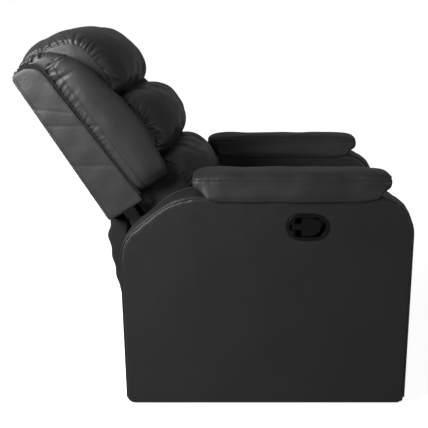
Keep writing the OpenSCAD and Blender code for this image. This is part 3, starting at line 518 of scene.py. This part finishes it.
def plastic(name, color, roughness, grain):
    """Moulded plastic with faint flow marks."""
    net = Net(name)
    flow = net.noise(40, 3)
    normal = net.bump(net.noise(grain, 2), 0.06, 0.0004)
    shade = net.blend(flow, *shades(color, 0.8, 1.2))
    return net.finish(shade, roughness + 0.08 * flow, normal, specular_ior_level=0.2)


def painted_steel(name):
    """Black powder coat with its fine orange peel and a little wear."""
    net = Net(name)
    peel = net.noise(420, 2)
    worn = net.ramp(net.noise(38, 5, None, 0.7), [(0.62, 0.0), (0.74, 1.0)])
    color = net.blend(worn * 0.5, (0.03, 0.03, 0.032), (0.14, 0.14, 0.145))
    return net.finish(color, 0.42 + 0.15 * peel, net.bump(peel, 0.15, 0.0005))


def plated_steel(name, shade):
    """Plated steel with cloudy roughness and fine drawing lines."""
    net = Net(name)
    clouds = net.noise(60, 4)
    lines = net.noise(300, 2, net.scaled(0.1, 1, 1))
    color = net.blend(clouds, (shade * 0.75,) * 3, (shade, shade, shade * 1.02))
    return net.finish(color, 0.28 + 0.2 * clouds, net.bump(lines, 0.08, 0.0003), metallic=1.0)


FINISHES = {
    "leather": (leather, "black_leather"),
    # A copy of the black leather painted lighter, as lit, for the backrest's shell
    "leather_shell": (leather, "black_leather_shell", 1.2),
    # Copies of the black leather painted darker, as shaded, for the arms and the pads
    "leather_arm": (leather, "black_leather_arm", 0.62, 0.02),
    "leather_pad": (leather, "black_leather_pad", 0.7, 0.06),
    "skirt": (cloth, "skirt_cloth", (0.012, 0.012, 0.013), 260),
    "strap": (cloth, "strap_web", (0.05, 0.05, 0.055), 120),
    "thread": (cloth, "black_thread", (0.03, 0.03, 0.032), 500, 0.6),
    "wood": (wood, "frame_wood", (0.56, 0.39, 0.22), (0.33, 0.2, 0.1)),
    "stained": (wood, "stained_wood", (0.022, 0.020, 0.019), (0.012, 0.011, 0.010)),
    "gloss": (plastic, "gloss_plastic", (0.002, 0.002, 0.002), 0.12, 90),
    "glide": (plastic, "glide_plastic", (0.03, 0.03, 0.032), 0.45, 500),
    "casing": (plastic, "cable_casing", (0.02, 0.02, 0.022), 0.35, 700),
    "paint": (painted_steel, "link_steel"),
    "zinc": (plated_steel, "zinc_steel", 0.6),
    "spring": (plated_steel, "spring_steel", 0.32),
}
# The finish of a CAD node goes by its slot
SLOT_FINISHES = {
    "frame_wood": "wood", "release_plastic": "gloss", "cable_casing": "casing",
    "strap_web": "strap", "zinc_steel": "zinc", "spring_steel": "spring",
    "link_steel": "paint", "glide_plastic": "glide", "skirt_cloth": "skirt",
    "black_leather": "leather",
}
# Wooden pieces that show at some pose, so they are stained black
STAINED = ("footrest_board", "seat_box", "base_front_rail", "base_rear_rail")
MADE = {}


def finish_of(kind):
    """The material of a finish, made once."""
    if kind not in MADE:
        maker, *values = FINISHES[kind]
        MADE[kind] = maker(*values)
    return MADE[kind]


def dressed(obj, kind, body=None):
    """Gives a new piece its material and, where it has one, its body."""
    obj.data.materials.clear()
    obj.data.materials.append(finish_of(kind))
    obj.data.polygons.foreach_set("use_smooth", [True] * len(obj.data.polygons))
    if body:
        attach(obj, body)
    return obj


def upholstered(obj, kind, node, body):
    """Puts a leather cover in its CAD node's place."""
    dressed(obj, kind, body)
    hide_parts(node)


# Sizes and colours that a user would change


class ChairLook(bpy.types.PropertyGroup):
    leather_color: FloatVectorProperty(
        name="Leather colour", description="Base colour of the black leather",
        subtype="COLOR", default=(0.017, 0.017, 0.0175), min=0, max=1)
    leather_roughness: FloatProperty(
        name="Leather roughness", description="Roughness of the leather's finish",
        subtype="FACTOR", default=0.40, min=0, max=1)
    grain_count: FloatProperty(
        name="Grain", description="Leather cells in a metre", default=620, min=100, max=2000)


class ChairSoft(bpy.types.PropertyGroup):
    voxel: FloatProperty(
        name="Mesh size", description="Size of the pillows' faces before they are made finer",
        subtype="DISTANCE", unit="LENGTH", default=0.0052, min=0.003, max=0.02)
    pressure: FloatProperty(
        name="Filling", description="Pressure that fills the cushions",
        default=4.0, min=0, max=20)
    pillow_rise: FloatProperty(
        name="Pillow rise", description="How far a pillow's cover may swell",
        subtype="DISTANCE", unit="LENGTH", default=0.016, min=0, max=0.03)
    pad_rise: FloatProperty(
        name="Pad rise", description="How far an arm pad's cover may swell",
        subtype="DISTANCE", unit="LENGTH", default=0.0035, min=0, max=0.016)
    pad_hang: FloatProperty(
        name="Pad overhang", description="How far an arm pad hangs over the side panel",
        subtype="DISTANCE", unit="LENGTH", default=0.0125, min=0, max=0.02)
    wing_fall: FloatProperty(
        name="Wing fall", description="How far a wing's outer face falls off to its free edge",
        subtype="DISTANCE", unit="LENGTH", default=0.030, min=0, max=0.04)
    pleat_depth: FloatProperty(
        name="Pleat depth", description="Depth of the gathers at the pillows' ends",
        subtype="DISTANCE", unit="LENGTH", default=0.0065, min=0, max=0.015)


class ChairTrim(bpy.types.PropertyGroup):
    piping: FloatProperty(
        name="Piping", description="Radius of the piping",
        subtype="DISTANCE", unit="LENGTH", default=0.0019, min=0.001, max=0.006)
    # The dark cord in the wings' seams is painted shade of the seam's valley
    seam_shade_cord: FloatProperty(
        name="Seam cord", description="Radius of the cord between a wing and its side panel",
        subtype="DISTANCE", unit="LENGTH", default=0.0044, min=0.001, max=0.008)
    welt: FloatProperty(
        name="Top welt", description="Radius of the welt between rear panel and head pillow",
        subtype="DISTANCE", unit="LENGTH", default=0.0075, min=0.002, max=0.012)
    stitch: FloatProperty(
        name="Stitch length", description="Length of one stitch",
        subtype="DISTANCE", unit="LENGTH", default=0.0042, min=0.002, max=0.008)
    thread: FloatProperty(
        name="Thread", description="Radius of the sewing thread",
        subtype="DISTANCE", unit="LENGTH", default=0.0006, min=0.0002, max=0.002)


class ChairStage(bpy.types.PropertyGroup):
    key: FloatProperty(
        name="Key light", description="Power of the large light over the chair",
        unit="POWER", default=2.5, min=0, max=2000)
    side: FloatProperty(
        name="Side light", description="Power of the light behind the chair's back",
        unit="POWER", default=74, min=0, max=2000)
    fill: FloatProperty(
        name="Fill light", description="Power of the light at the camera's side",
        unit="POWER", default=20, min=0, max=2000)
    around: FloatProperty(
        name="Room light", description="Strength of the pale room round the chair",
        default=0.06, min=0, max=10)
    mirrored: FloatProperty(
        name="Mirrored", description="Share of the white room that reflections show",
        subtype="FACTOR", default=0.22, min=0, max=1)
    floor_side: FloatProperty(
        name="Floor", description="Side of the floor",
        subtype="DISTANCE", unit="LENGTH", default=60, min=5, max=200)


# Pieces


class CHAIR_OT_finishes(bpy.types.Operator):
    """Gives every CAD node its material"""

    bl_idname = "chair.finishes"
    bl_label = "Finishes"

    def execute(self, context):
        slots = {s["node"]: s["material_slot"] for s in frame["record"]["subparts"]}
        for node, obj in NODES.items():
            kind = "stained" if node in STAINED else SLOT_FINISHES[slots[node]]
            obj.data.materials.clear()
            obj.data.materials.append(finish_of(kind))
        return {"FINISHED"}


def gathered_pillow(node, middle, inset, pleat, rng):
    """A back pillow: blown up, then gathered into the seams at its two ends.

    middle is the middle of those ends as (depth, along). Their seams lie inset
    inside their outline, and the gathers are up to pleat deep.
    """
    soft = bpy.context.scene.chair_soft
    obj = covered(node, soft.voxel)
    # The rear, which lies on the back's frame, stays
    held = smooth_step(-to_back(points_of(obj))[:, 1], -0.100, -0.080)
    puffed(obj, soft.pressure, soft.pillow_rise, held, 0.005)
    subdivided(obj)
    p, n = points_of(obj), normals_of(obj)
    local = to_back(p)
    depth, along = local[:, 1] - middle[0], local[:, 2] - middle[1]
    radius, angle = np.hypot(depth, along), np.arctan2(along, depth)
    # The ends' outline is the largest radius of each sector, evened out over five
    ends = np.abs(local[:, 0]) > 0.9 * PILLOW_HALF
    sector = np.digitize(angle, np.linspace(-math.pi, math.pi, SECTORS + 1))
    edge = np.array([
        radius[ends & (sector == k)].max(initial=0.01) for k in range(SECTORS + 3)])
    edge = np.convolve(np.pad(edge, 2, "edge"), np.ones(5) / 5, "valid")[sector]
    away = PILLOW_HALF - np.abs(local[:, 0]) + inset + np.minimum(radius - edge, 0.02)
    u = angle * 0.115
    front = smooth_step(local[:, 1], 0.07, 0.13)
    sink = np.zeros(len(p))
    for side in SIDES.values():
        on = local[:, 0] * side > 0
        folds = pleats(u[on], away[on], rng, depth=(0.3 * pleat, pleat), **PILLOW_GATHERS)
        sink[on] += folds * front[on]
    sink += 0.0032 * bump_at(away, 0.0030) * smooth_step(radius, 0.05, 0.08)
    sink -= 0.0014 * ripple(local, rng, 0.11) * smooth_step(away, 0.0, 0.08)
    set_points(obj, p - n * sink[:, None])
    upholstered(obj, "leather", node, BACK)


class CHAIR_OT_pillows(bpy.types.Operator):
    """Makes the head, middle and lumbar pillows with their gathered ends"""

    bl_idname = "chair.pillows"
    bl_label = "Pillows"

    def execute(self, context):
        deep = context.scene.chair_soft.pleat_depth
        rng = np.random.default_rng(7)
        gathered_pillow("head_pillow", (0.14, 0.375), 0.020, deep, rng)
        gathered_pillow("middle_pillow", (0.17, 0.165), 0.018, 1.8 * deep, rng)
        gathered_pillow("lumbar_pillow", (0.17, -0.03), 0.015, 0.7 * deep, rng)
        return {"FINISHED"}


class CHAIR_OT_wings(bpy.types.Operator):
    """Makes the two wing bolsters with their gathers and their stitched line"""

    bl_idname = "chair.wings"
    bl_label = "Wings"

    def execute(self, context):
        wing_fall = context.scene.chair_soft.wing_fall
        rng = np.random.default_rng(11)
        for word, side in SIDES.items():
            node = word + "_wing"
            obj = subdivided(covered(node, 0.0042))
            p, n = points_of(obj), normals_of(obj)
            local = to_back(p)
            out, depth, s = local[:, 0] * side, local[:, 1], local[:, 2]
            # d is the way from the seam and u the way along it, also over the top
            over_top = smooth_step(s, 0.395, 0.43)
            d = (depth - seam_depth(s)) * (1 - over_top) + (s - SEAM_TOP) * over_top
            u = s - depth * over_top
            outer = smooth_step(out, 0.255, 0.28)
            strong = 0.25 + 0.75 * smooth_step(s, 0.05, 0.34)
            sink = pleats(u, d, rng, **WING_GATHERS) * outer * strong
            top = smooth_step(s, 0.24, 0.40)
            sink += pleats(u, d, rng, **WING_TOP_GATHERS) * outer * top
            # The groove of the stitched line, and the edge that the seam draws in
            sink += 0.0020 * bump_at(d - WING_STITCHES, 0.0022) * outer * (1 - over_top)
            sink += 0.0035 * np.exp(-np.clip(d, 0, None) / 0.006) * outer
            sink -= 0.0010 * ripple(local, rng, 0.12) * smooth_step(d, 0.02, 0.05)
            p = p - n * sink[:, None]
            # The outer face falls off to the free edge and to the lower end
            fall = np.clip((d - 0.045) / 0.105, 0, 1.15) ** 1.8
            fall += 0.6 * np.clip((0.075 - s) / 0.075, 0, 1.2) ** 2
            p[:, 0] -= side * wing_fall * fall * smooth_step(out, 0.235, 0.30)
            set_points(obj, p)
            upholstered(obj, "leather", node, BACK)
        return {"FINISHED"}


class CHAIR_OT_arm_pads(bpy.types.Operator):
    """Makes the two arm pads with the seam that runs round them"""

    bl_idname = "chair.arm_pads"
    bl_label = "Arm pads"

    def execute(self, context):
        soft = context.scene.chair_soft
        rng = np.random.default_rng(5)
        for word, side in SIDES.items():
            node, middle = word + "_arm_pad", side * PAD_X
            obj = covered(node, 0.0045)
            # The underside, which lies on the arm, stays
            held = smooth_step(-points_of(obj)[:, 2], -0.572, -0.568)
            puffed(obj, soft.pressure, soft.pad_rise, held, 0.003)
            subdivided(obj)
            p, n = points_of(obj), normals_of(obj)
            # The long edges hang over the side panels
            across = np.abs(p[:, 0] - middle)
            hang = smooth_step(across, 0.040, 0.060) * smooth_step(-p[:, 2], -0.600, -0.580)
            hang *= smooth_step(0.235 - np.abs(p[:, 1] - PAD_Y), 0.0, 0.03)
            p[:, 2] -= soft.pad_hang * hang
            p[:, 0] += np.sign(p[:, 0] - middle) * hang * np.clip(0.0745 - across, 0, 1)
            rise = p[:, 2] - PAD_GROOVE
            upright = smooth_step(1 - np.abs(n[:, 2]), 0.1, 0.4)
            sink = 0.0024 * bump_at(rise, 0.0019) * upright
            # Small gathers at the rear end
            u = np.arctan2(p[:, 0] - middle, p[:, 1]) * 0.07
            end = smooth_step(p[:, 1], -0.03, 0.04)
            sink += pleats(u, np.abs(rise), rng, **PAD_GATHERS) * end
            sink -= 0.0010 * ripple(p, rng, 0.10)
            set_points(obj, p - n * sink[:, None])
            # The pads wear the leather copy painted darker, as shaded
            upholstered(obj, "leather_pad", node, BASE)
        return {"FINISHED"}


class CHAIR_OT_seat(bpy.types.Operator):
    """Makes the seat cushion and the footrest's pad"""

    bl_idname = "chair.seat"
    bl_label = "Seat and footrest"

    def execute(self, context):
        soft = context.scene.chair_soft
        rng = np.random.default_rng(3)
        obj = covered("seat_cushion", 0.0068)
        p = points_of(obj)
        # The underside and the two sides along the arms stay
        held = np.maximum(smooth_step(-p[:, 2], -0.362, -0.352), np.abs(p[:, 0]) > 0.236)
        puffed(obj, soft.pressure, soft.pillow_rise, held, 0.004)
        subdivided(obj)
        p, n = points_of(obj), normals_of(obj)
        away = 0.229 - np.abs(p[:, 0])
        sink = 0.0035 * bump_at(away, 0.004) * smooth_step(n[:, 2], 0.1, 0.5)
        set_points(obj, p - n * (sink - 0.0016 * ripple(p, rng, 0.16))[:, None])
        upholstered(obj, "leather", "seat_cushion", BASE)

        obj = covered("footrest_pad", 0.0055)
        # The face that lies on the board stays
        held = smooth_step(points_of(obj)[:, 1], -0.452, -0.444)
        puffed(obj, soft.pressure, soft.pad_rise, held, 0.003)
        subdivided(obj)
        p, n = points_of(obj), normals_of(obj)
        away = np.minimum(0.226 - np.abs(p[:, 0]), 0.146 - np.abs(p[:, 2] - 0.2135))
        sink = 0.003 * bump_at(away, 0.0035) * smooth_step(-n[:, 1], 0.2, 0.6)
        set_points(obj, p - n * (sink - 0.0013 * ripple(p, rng, 0.14))[:, None])
        upholstered(obj, "leather", "footrest_pad", FOOT)
        return {"FINISHED"}


class CHAIR_OT_arm_covers(bpy.types.Operator):
    """Makes the arms' upholstered side panels and bands"""

    bl_idname = "chair.arm_covers"
    bl_label = "Arm covers"

    def execute(self, context):
        rng = np.random.default_rng(23)
        # Panels and bands wear the leather copy painted darker, as shaded
        for word in SIDES:
            for place in ("outer", "inner"):
                node = f"{word}_arm_{place}_panel"
                obj = covered(node, 0.0062, 2)
                p, n = points_of(obj), normals_of(obj)
                flat = smooth_step(np.abs(n[:, 0]), 0.8, 0.98)
                set_points(obj, p + n * (0.0009 * ripple(p, rng, 0.22) * flat)[:, None])
                upholstered(obj, "leather_arm", node, BASE)
            for place in ("front", "rear"):
                node = f"{word}_arm_{place}_band"
                obj = covered(node, 0.005, 2)
                p, n = points_of(obj), normals_of(obj)
                set_points(obj, p + n * (0.0010 * ripple(p, rng, 0.12))[:, None])
                upholstered(obj, "leather_arm", node, BASE)
        return {"FINISHED"}


class CHAIR_OT_back_covers(bpy.types.Operator):
    """Makes the backrest's upholstered side and rear panels"""

    bl_idname = "chair.back_covers"
    bl_label = "Back covers"

    def execute(self, context):
        rng = np.random.default_rng(31)
        # The side panels and the rear panel wear the leather copy painted lighter, as lit
        for word, side in SIDES.items():
            node = word + "_back_panel"
            obj = subdivided(covered(node, 0.0045, 2))
            p, n = points_of(obj), normals_of(obj)
            local = to_back(p)
            lift = 0.0009 * ripple(local * [1, 1, 1.6], rng, 0.12)
            for at, slope in SHELL_CREASES:
                lift -= 0.0006 * bump_at(local[:, 2] - at - slope * local[:, 1], 0.006)
            lift -= 0.0012 * bump_at(local[:, 1] - SHELL_STITCHES, 0.0016)
            out = smooth_step(n[:, 0] * side, 0.5, 0.95)
            set_points(obj, p + n * (lift * out)[:, None])
            upholstered(obj, "leather_shell", node, BACK)
        obj = covered("back_rear_panel", 0.0058, 2)
        p, n = points_of(obj), normals_of(obj)
        set_points(obj, p + n * (0.0014 * ripple(to_back(p), rng, 0.2))[:, None])
        upholstered(obj, "leather_shell", "back_rear_panel", BACK)
        return {"FINISHED"}


class CHAIR_OT_skirt(bpy.types.Operator):
    """Hangs the cloth skirt between the base's rear rail and the backrest's foot"""

    bl_idname = "chair.skirt"
    bl_label = "Rear skirt"

    def execute(self, context):
        rng = np.random.default_rng(41)
        # Half its hanging width, the turn-in at each side, and the cut's height
        wide, turn_in, height = 0.2428, 0.050, 0.43
        # Its run as (y, z), from the rail up to the backrest
        line = np.array([
            (0.2395, 0.066), (0.240, 0.15), (0.247, 0.20), (0.262, 0.27), (0.279, 0.34),
            (0.290, 0.40), (0.2915, 0.44), (0.2845, 0.476)])
        bm = bmesh.new()
        bmesh.ops.create_grid(bm, x_segments=90, y_segments=96, size=0.5)
        obj = from_bmesh("rear_skirt_cloth", bm)
        p = points_of(obj)
        # u runs across the flat cloth, and v from 0 at the rail to 1 at the backrest
        u, v = p[:, 0] * 2 * (wide + turn_in), p[:, 1] + 0.5
        run = resampled(line, 0.004)
        t = np.linspace(0, 1, len(run))
        y, z = np.interp(v, t, run[:, 0]), np.interp(v, t, run[:, 1])
        # The turn-ins lead forwards, but hardly do so near the rail
        past = np.clip(np.abs(u) - wide, 0, None)
        x = np.sign(u) * np.minimum(np.abs(u), wide)
        y = y - past * (0.15 + 0.85 * smooth_step(v, 0.25, 0.5))
        # Soft waves all over, and folds across the upper half
        flat = np.stack([u, np.zeros_like(u), z], 1)
        sag = 0.004 * ripple(flat * [0.5, 1, 1.4], rng, 0.13) * smooth_step(v, 0.1, 0.3)
        sag *= smooth_step(1 - v, 0.0, 0.12)
        sag += 0.0022 * np.sin(z * 110 + 2 * np.sin(u * 9)) * smooth_step(v, 0.35, 0.6)
        set_points(obj, np.stack([x, y + sag * (past == 0), z], 1))
        thick = obj.modifiers.new("thickness", "SOLIDIFY")
        thick.thickness = 0.0012
        evaluated(obj)
        dressed(obj, "skirt")
        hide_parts("rear_skirt")
        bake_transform(obj)
        return {"FINISHED"}


class CHAIR_OT_release(bpy.types.Operator):
    """Rounds the release cup and its paddle"""

    bl_idname = "chair.release"
    bl_label = "Release handle"

    def execute(self, context):
        moulded = (("handle_cup", 0.0008, BASE), ("release_paddle", 0.0006, "paddle"))
        for node, voxel, body in moulded:
            obj = covered(node, voxel, 4, "_shell")
            dressed(obj, "gloss", body)
            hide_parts(node)
        return {"FINISHED"}


class CHAIR_OT_trim(bpy.types.Operator):
    """Sews the piping, the dark cords painted as the wings' seam shade, the welt and the
    stitched lines on
    """

    bl_idname = "chair.trim"
    bl_label = "Piping and stitches"

    def execute(self, context):
        trim = context.scene.chair_trim
        sewn = {BASE: [], BACK: []}
        for word, side in SIDES.items():
            self.arm_piping(word, side, trim.piping)
            sewn[BASE].append(laid_on(word + "_arm_pad_cover", self.pad_line(side)))
            self.wing_shade_cord(word, side, trim.seam_shade_cord)
            edge = from_back([
                (side * 0.290, SHELL_STITCHES, s) for s in np.linspace(0.01, 0.425, 140)])
            sewn[BACK].append(laid_on(word + "_back_panel_cover", edge))
            edge = from_back([
                (side * 0.297, seam_depth(s) + WING_STITCHES, s)
                for s in np.linspace(0.05, 0.40, 140)])
            sewn[BACK].append(laid_on(word + "_wing_cover", edge))
        self.back_top(trim.welt)
        for body, paths in sewn.items():
            obj = stitches(body + "_stitches", paths, trim.stitch, 0.0016, trim.thread)
            dressed(obj, "thread", body)
        return {"FINISHED"}

    def arm_piping(self, word, side, radius):
        """Piping round both edges of an arm, open at the floor."""
        outline = resampled(fillet_path(ARM_CORNERS, ARM_RADII, 12), 0.006)
        for place, x in (("outer", ARM_OUT - 0.002), ("inner", ARM_IN + 0.002)):
            path = [(side * x, y, z) for y, z in outline if z > 0.02]
            cord = tube(f"{word}_{place}_piping", [path], radius)
            # The piping wears the arms' leather copy painted darker, as shaded
            dressed(cord, "leather_arm", BASE)

    def pad_line(self, side):
        """The stitched line round an arm pad, a rounded rectangle."""
        ring = []
        for a in np.linspace(0, 2 * math.pi, 700):
            x, y = (math.copysign(abs(c) ** 0.25, c) for c in (math.cos(a), math.sin(a)))
            ring.append((side * PAD_X + PAD_HALF_WIDE * x, PAD_Y + PAD_HALF_LONG * y,
                         PAD_STITCHES))
        return resampled(ring, 0.003)

    def wing_shade_cord(self, word, side, radius):
        """A dark matte cord, painted shade of the seam's valley, that follows a wing's seam up
        and over the backrest's top.
        """
        depth, top, bend = 0.0335, 0.390, 0.050
        line = [(seam_depth(s) + 0.002, s) for s in np.linspace(0.02, top, 60)]
        line += [(depth + bend * math.cos(a), top + bend * math.sin(a))
                 for a in np.linspace(0.1, 1.5, 16)]
        line.append((0.026, 0.4405))
        line = from_back([(side * 0.2815, d, s) for d, s in line])
        cord = tube(word + "_wing_cord", [resampled(line, 0.006)], radius)
        # It wears the dark matte skirt cloth, so that it reads as painted shade in the seam
        dressed(cord, "skirt", BACK)

    def back_top(self, radius):
        """The strip that closes the backrest's top edge, and the welt behind it."""
        bm = bmesh.new()
        bmesh.ops.create_cube(bm, size=1)
        bmesh.ops.scale(bm, vec=(0.536, 0.072, 0.016), verts=bm.verts)
        bmesh.ops.bevel(bm, geom=bm.edges[:], offset=0.005, segments=3, affect="EDGES",
                        profile=0.5, material=-1)
        # The backrest's axes are mirrored, so the faces are turned first
        bmesh.ops.reverse_faces(bm, faces=bm.faces)
        top = from_bmesh("back_top_cover", bm)
        set_points(top, from_back(points_of(top) + [0, 0.047, 0.434]))
        # The strip and the welt wear the leather copy painted lighter, as lit
        dressed(top, "leather_shell", BACK)
        line = from_back([(x, 0.0145, 0.4370) for x in np.linspace(-0.270, 0.270, 60)])
        welt = tube("back_top_welt", [line], radius)
        dressed(welt, "leather_shell", BACK)


class CHAIR_OT_stage(bpy.types.Operator):
    """Sets up the floor, the lights, the pale room and the camera"""

    bl_idname = "chair.stage"
    bl_label = "Stage"

    def execute(self, context):
        scene = context.scene
        stage = scene.chair_stage
        bm = bmesh.new()
        bmesh.ops.create_grid(bm, x_segments=1, y_segments=1, size=stage.floor_side / 2)
        floor = from_bmesh("floor", bm)
        floor.data.materials.append(self.floor_material())
        lights = (
            ("key", (-0.4, 0.7, 2.7), (0, 0.0, 0.4), 2.0, stage.key),
            ("side", (-1.15, 1.25, 1.35), (-0.3, 0.45, 0.8), 0.8, stage.side),
            ("fill", (-1.6, -2.6, 1.0), (0, 0.1, 0.6), 1.4, stage.fill),
        )
        for name, place, target, size, power in lights:
            lamp = bpy.data.lights.new(name, "AREA")
            lamp.shape, lamp.size, lamp.energy = "SQUARE", size, power
            self.aim(add_object(name, lamp), place, Vector(target) - Vector(place))
        self.room(scene, stage)
        camera = add_object("camera", bpy.data.cameras.new("camera"))
        camera.data.lens, camera.data.sensor_width = LENS, SENSOR
        camera.data.shift_x, camera.data.shift_y = SHIFT
        self.aim(camera, CAMERA_AT, Vector((math.cos(PITCH), 0, -math.sin(PITCH))))
        scene.camera = camera
        scene.view_settings.view_transform = "Standard"
        return {"FINISHED"}

    def aim(self, obj, place, way):
        """Puts a lamp or camera in its place and turns it to look along way."""
        obj.location = place
        obj.rotation_euler = way.to_track_quat("-Z", "Y").to_euler()

    def floor_material(self):
        """White where it is seen, with the chair's shadow, and grey to bounced light."""
        net = Net("pale_floor")
        # The seen glow is a painted floor brightness: dimmer near the chair, where the lamps
        # add to it and their shadow shows, and full white further out, where it stands in for
        # their light
        far = net.node("ShaderNodeVectorMath", {"operation": "LENGTH"},
                       {0: net.scaled(0.25, 0.25, 0)}, out="Value")
        glow = net.node("ShaderNodeEmission", values={
            "Color": (1, 1, 1, 1), "Strength": net.ramp(far, [(0.2, 0.86), (0.5, 1.0)])})
        lit, plain = (
            net.node("ShaderNodeBsdfDiffuse", values={"Color": (shade, shade, shade, 1)})
            for shade in (0.8, 0.18))
        white = net.node("ShaderNodeAddShader", values={0: glow, 1: lit})
        return net.seen_finish("ShaderNodeOutputMaterial", plain, white)

    def room(self, scene, stage):
        """A room that is white where it is seen and dim as a light."""
        scene.world = bpy.data.worlds.new("room")
        net = Net("room", scene.world)
        plain, white = (
            net.node("ShaderNodeBackground", values={
                "Color": (1, 1, 1, 1), "Strength": strength})
            for strength in (stage.around, 1.0))
        net.seen_finish("ShaderNodeOutputWorld", plain, white)


OPERATORS = (
    CHAIR_OT_stage, CHAIR_OT_finishes, CHAIR_OT_pillows, CHAIR_OT_wings, CHAIR_OT_arm_pads,
    CHAIR_OT_seat, CHAIR_OT_arm_covers, CHAIR_OT_back_covers, CHAIR_OT_skirt,
    CHAIR_OT_release, CHAIR_OT_trim,
)
GROUPS = {
    "chair_look": ChairLook, "chair_soft": ChairSoft, "chair_trim": ChairTrim,
    "chair_stage": ChairStage,
}


class CHAIR_PT_panel(bpy.types.Panel):
    """Sizes, colours and steps of the armchair"""

    bl_label = "Armchair"
    bl_idname = "CHAIR_PT_panel"
    bl_space_type = "VIEW_3D"
    bl_region_type = "UI"
    bl_category = "Armchair"

    def draw(self, context):
        for key, group in GROUPS.items():
            box = self.layout.box()
            for name in group.__annotations__:
                box.prop(getattr(context.scene, key), name)
        for operator in OPERATORS:
            self.layout.operator(operator.bl_idname)


CLASSES = (*GROUPS.values(), *OPERATORS, CHAIR_PT_panel)


def register():
    for cls in CLASSES:
        bpy.utils.register_class(cls)
    for key, group in GROUPS.items():
        setattr(bpy.types.Scene, key, PointerProperty(type=group))


def unregister():
    for key in GROUPS:
        delattr(bpy.types.Scene, key)
    for cls in reversed(CLASSES):
        bpy.utils.unregister_class(cls)


def main():
    register()
    for operator in OPERATORS:
        group, name = operator.bl_idname.split(".")
        getattr(getattr(bpy.ops, group), name)()


if __name__ == "__main__":
    main()
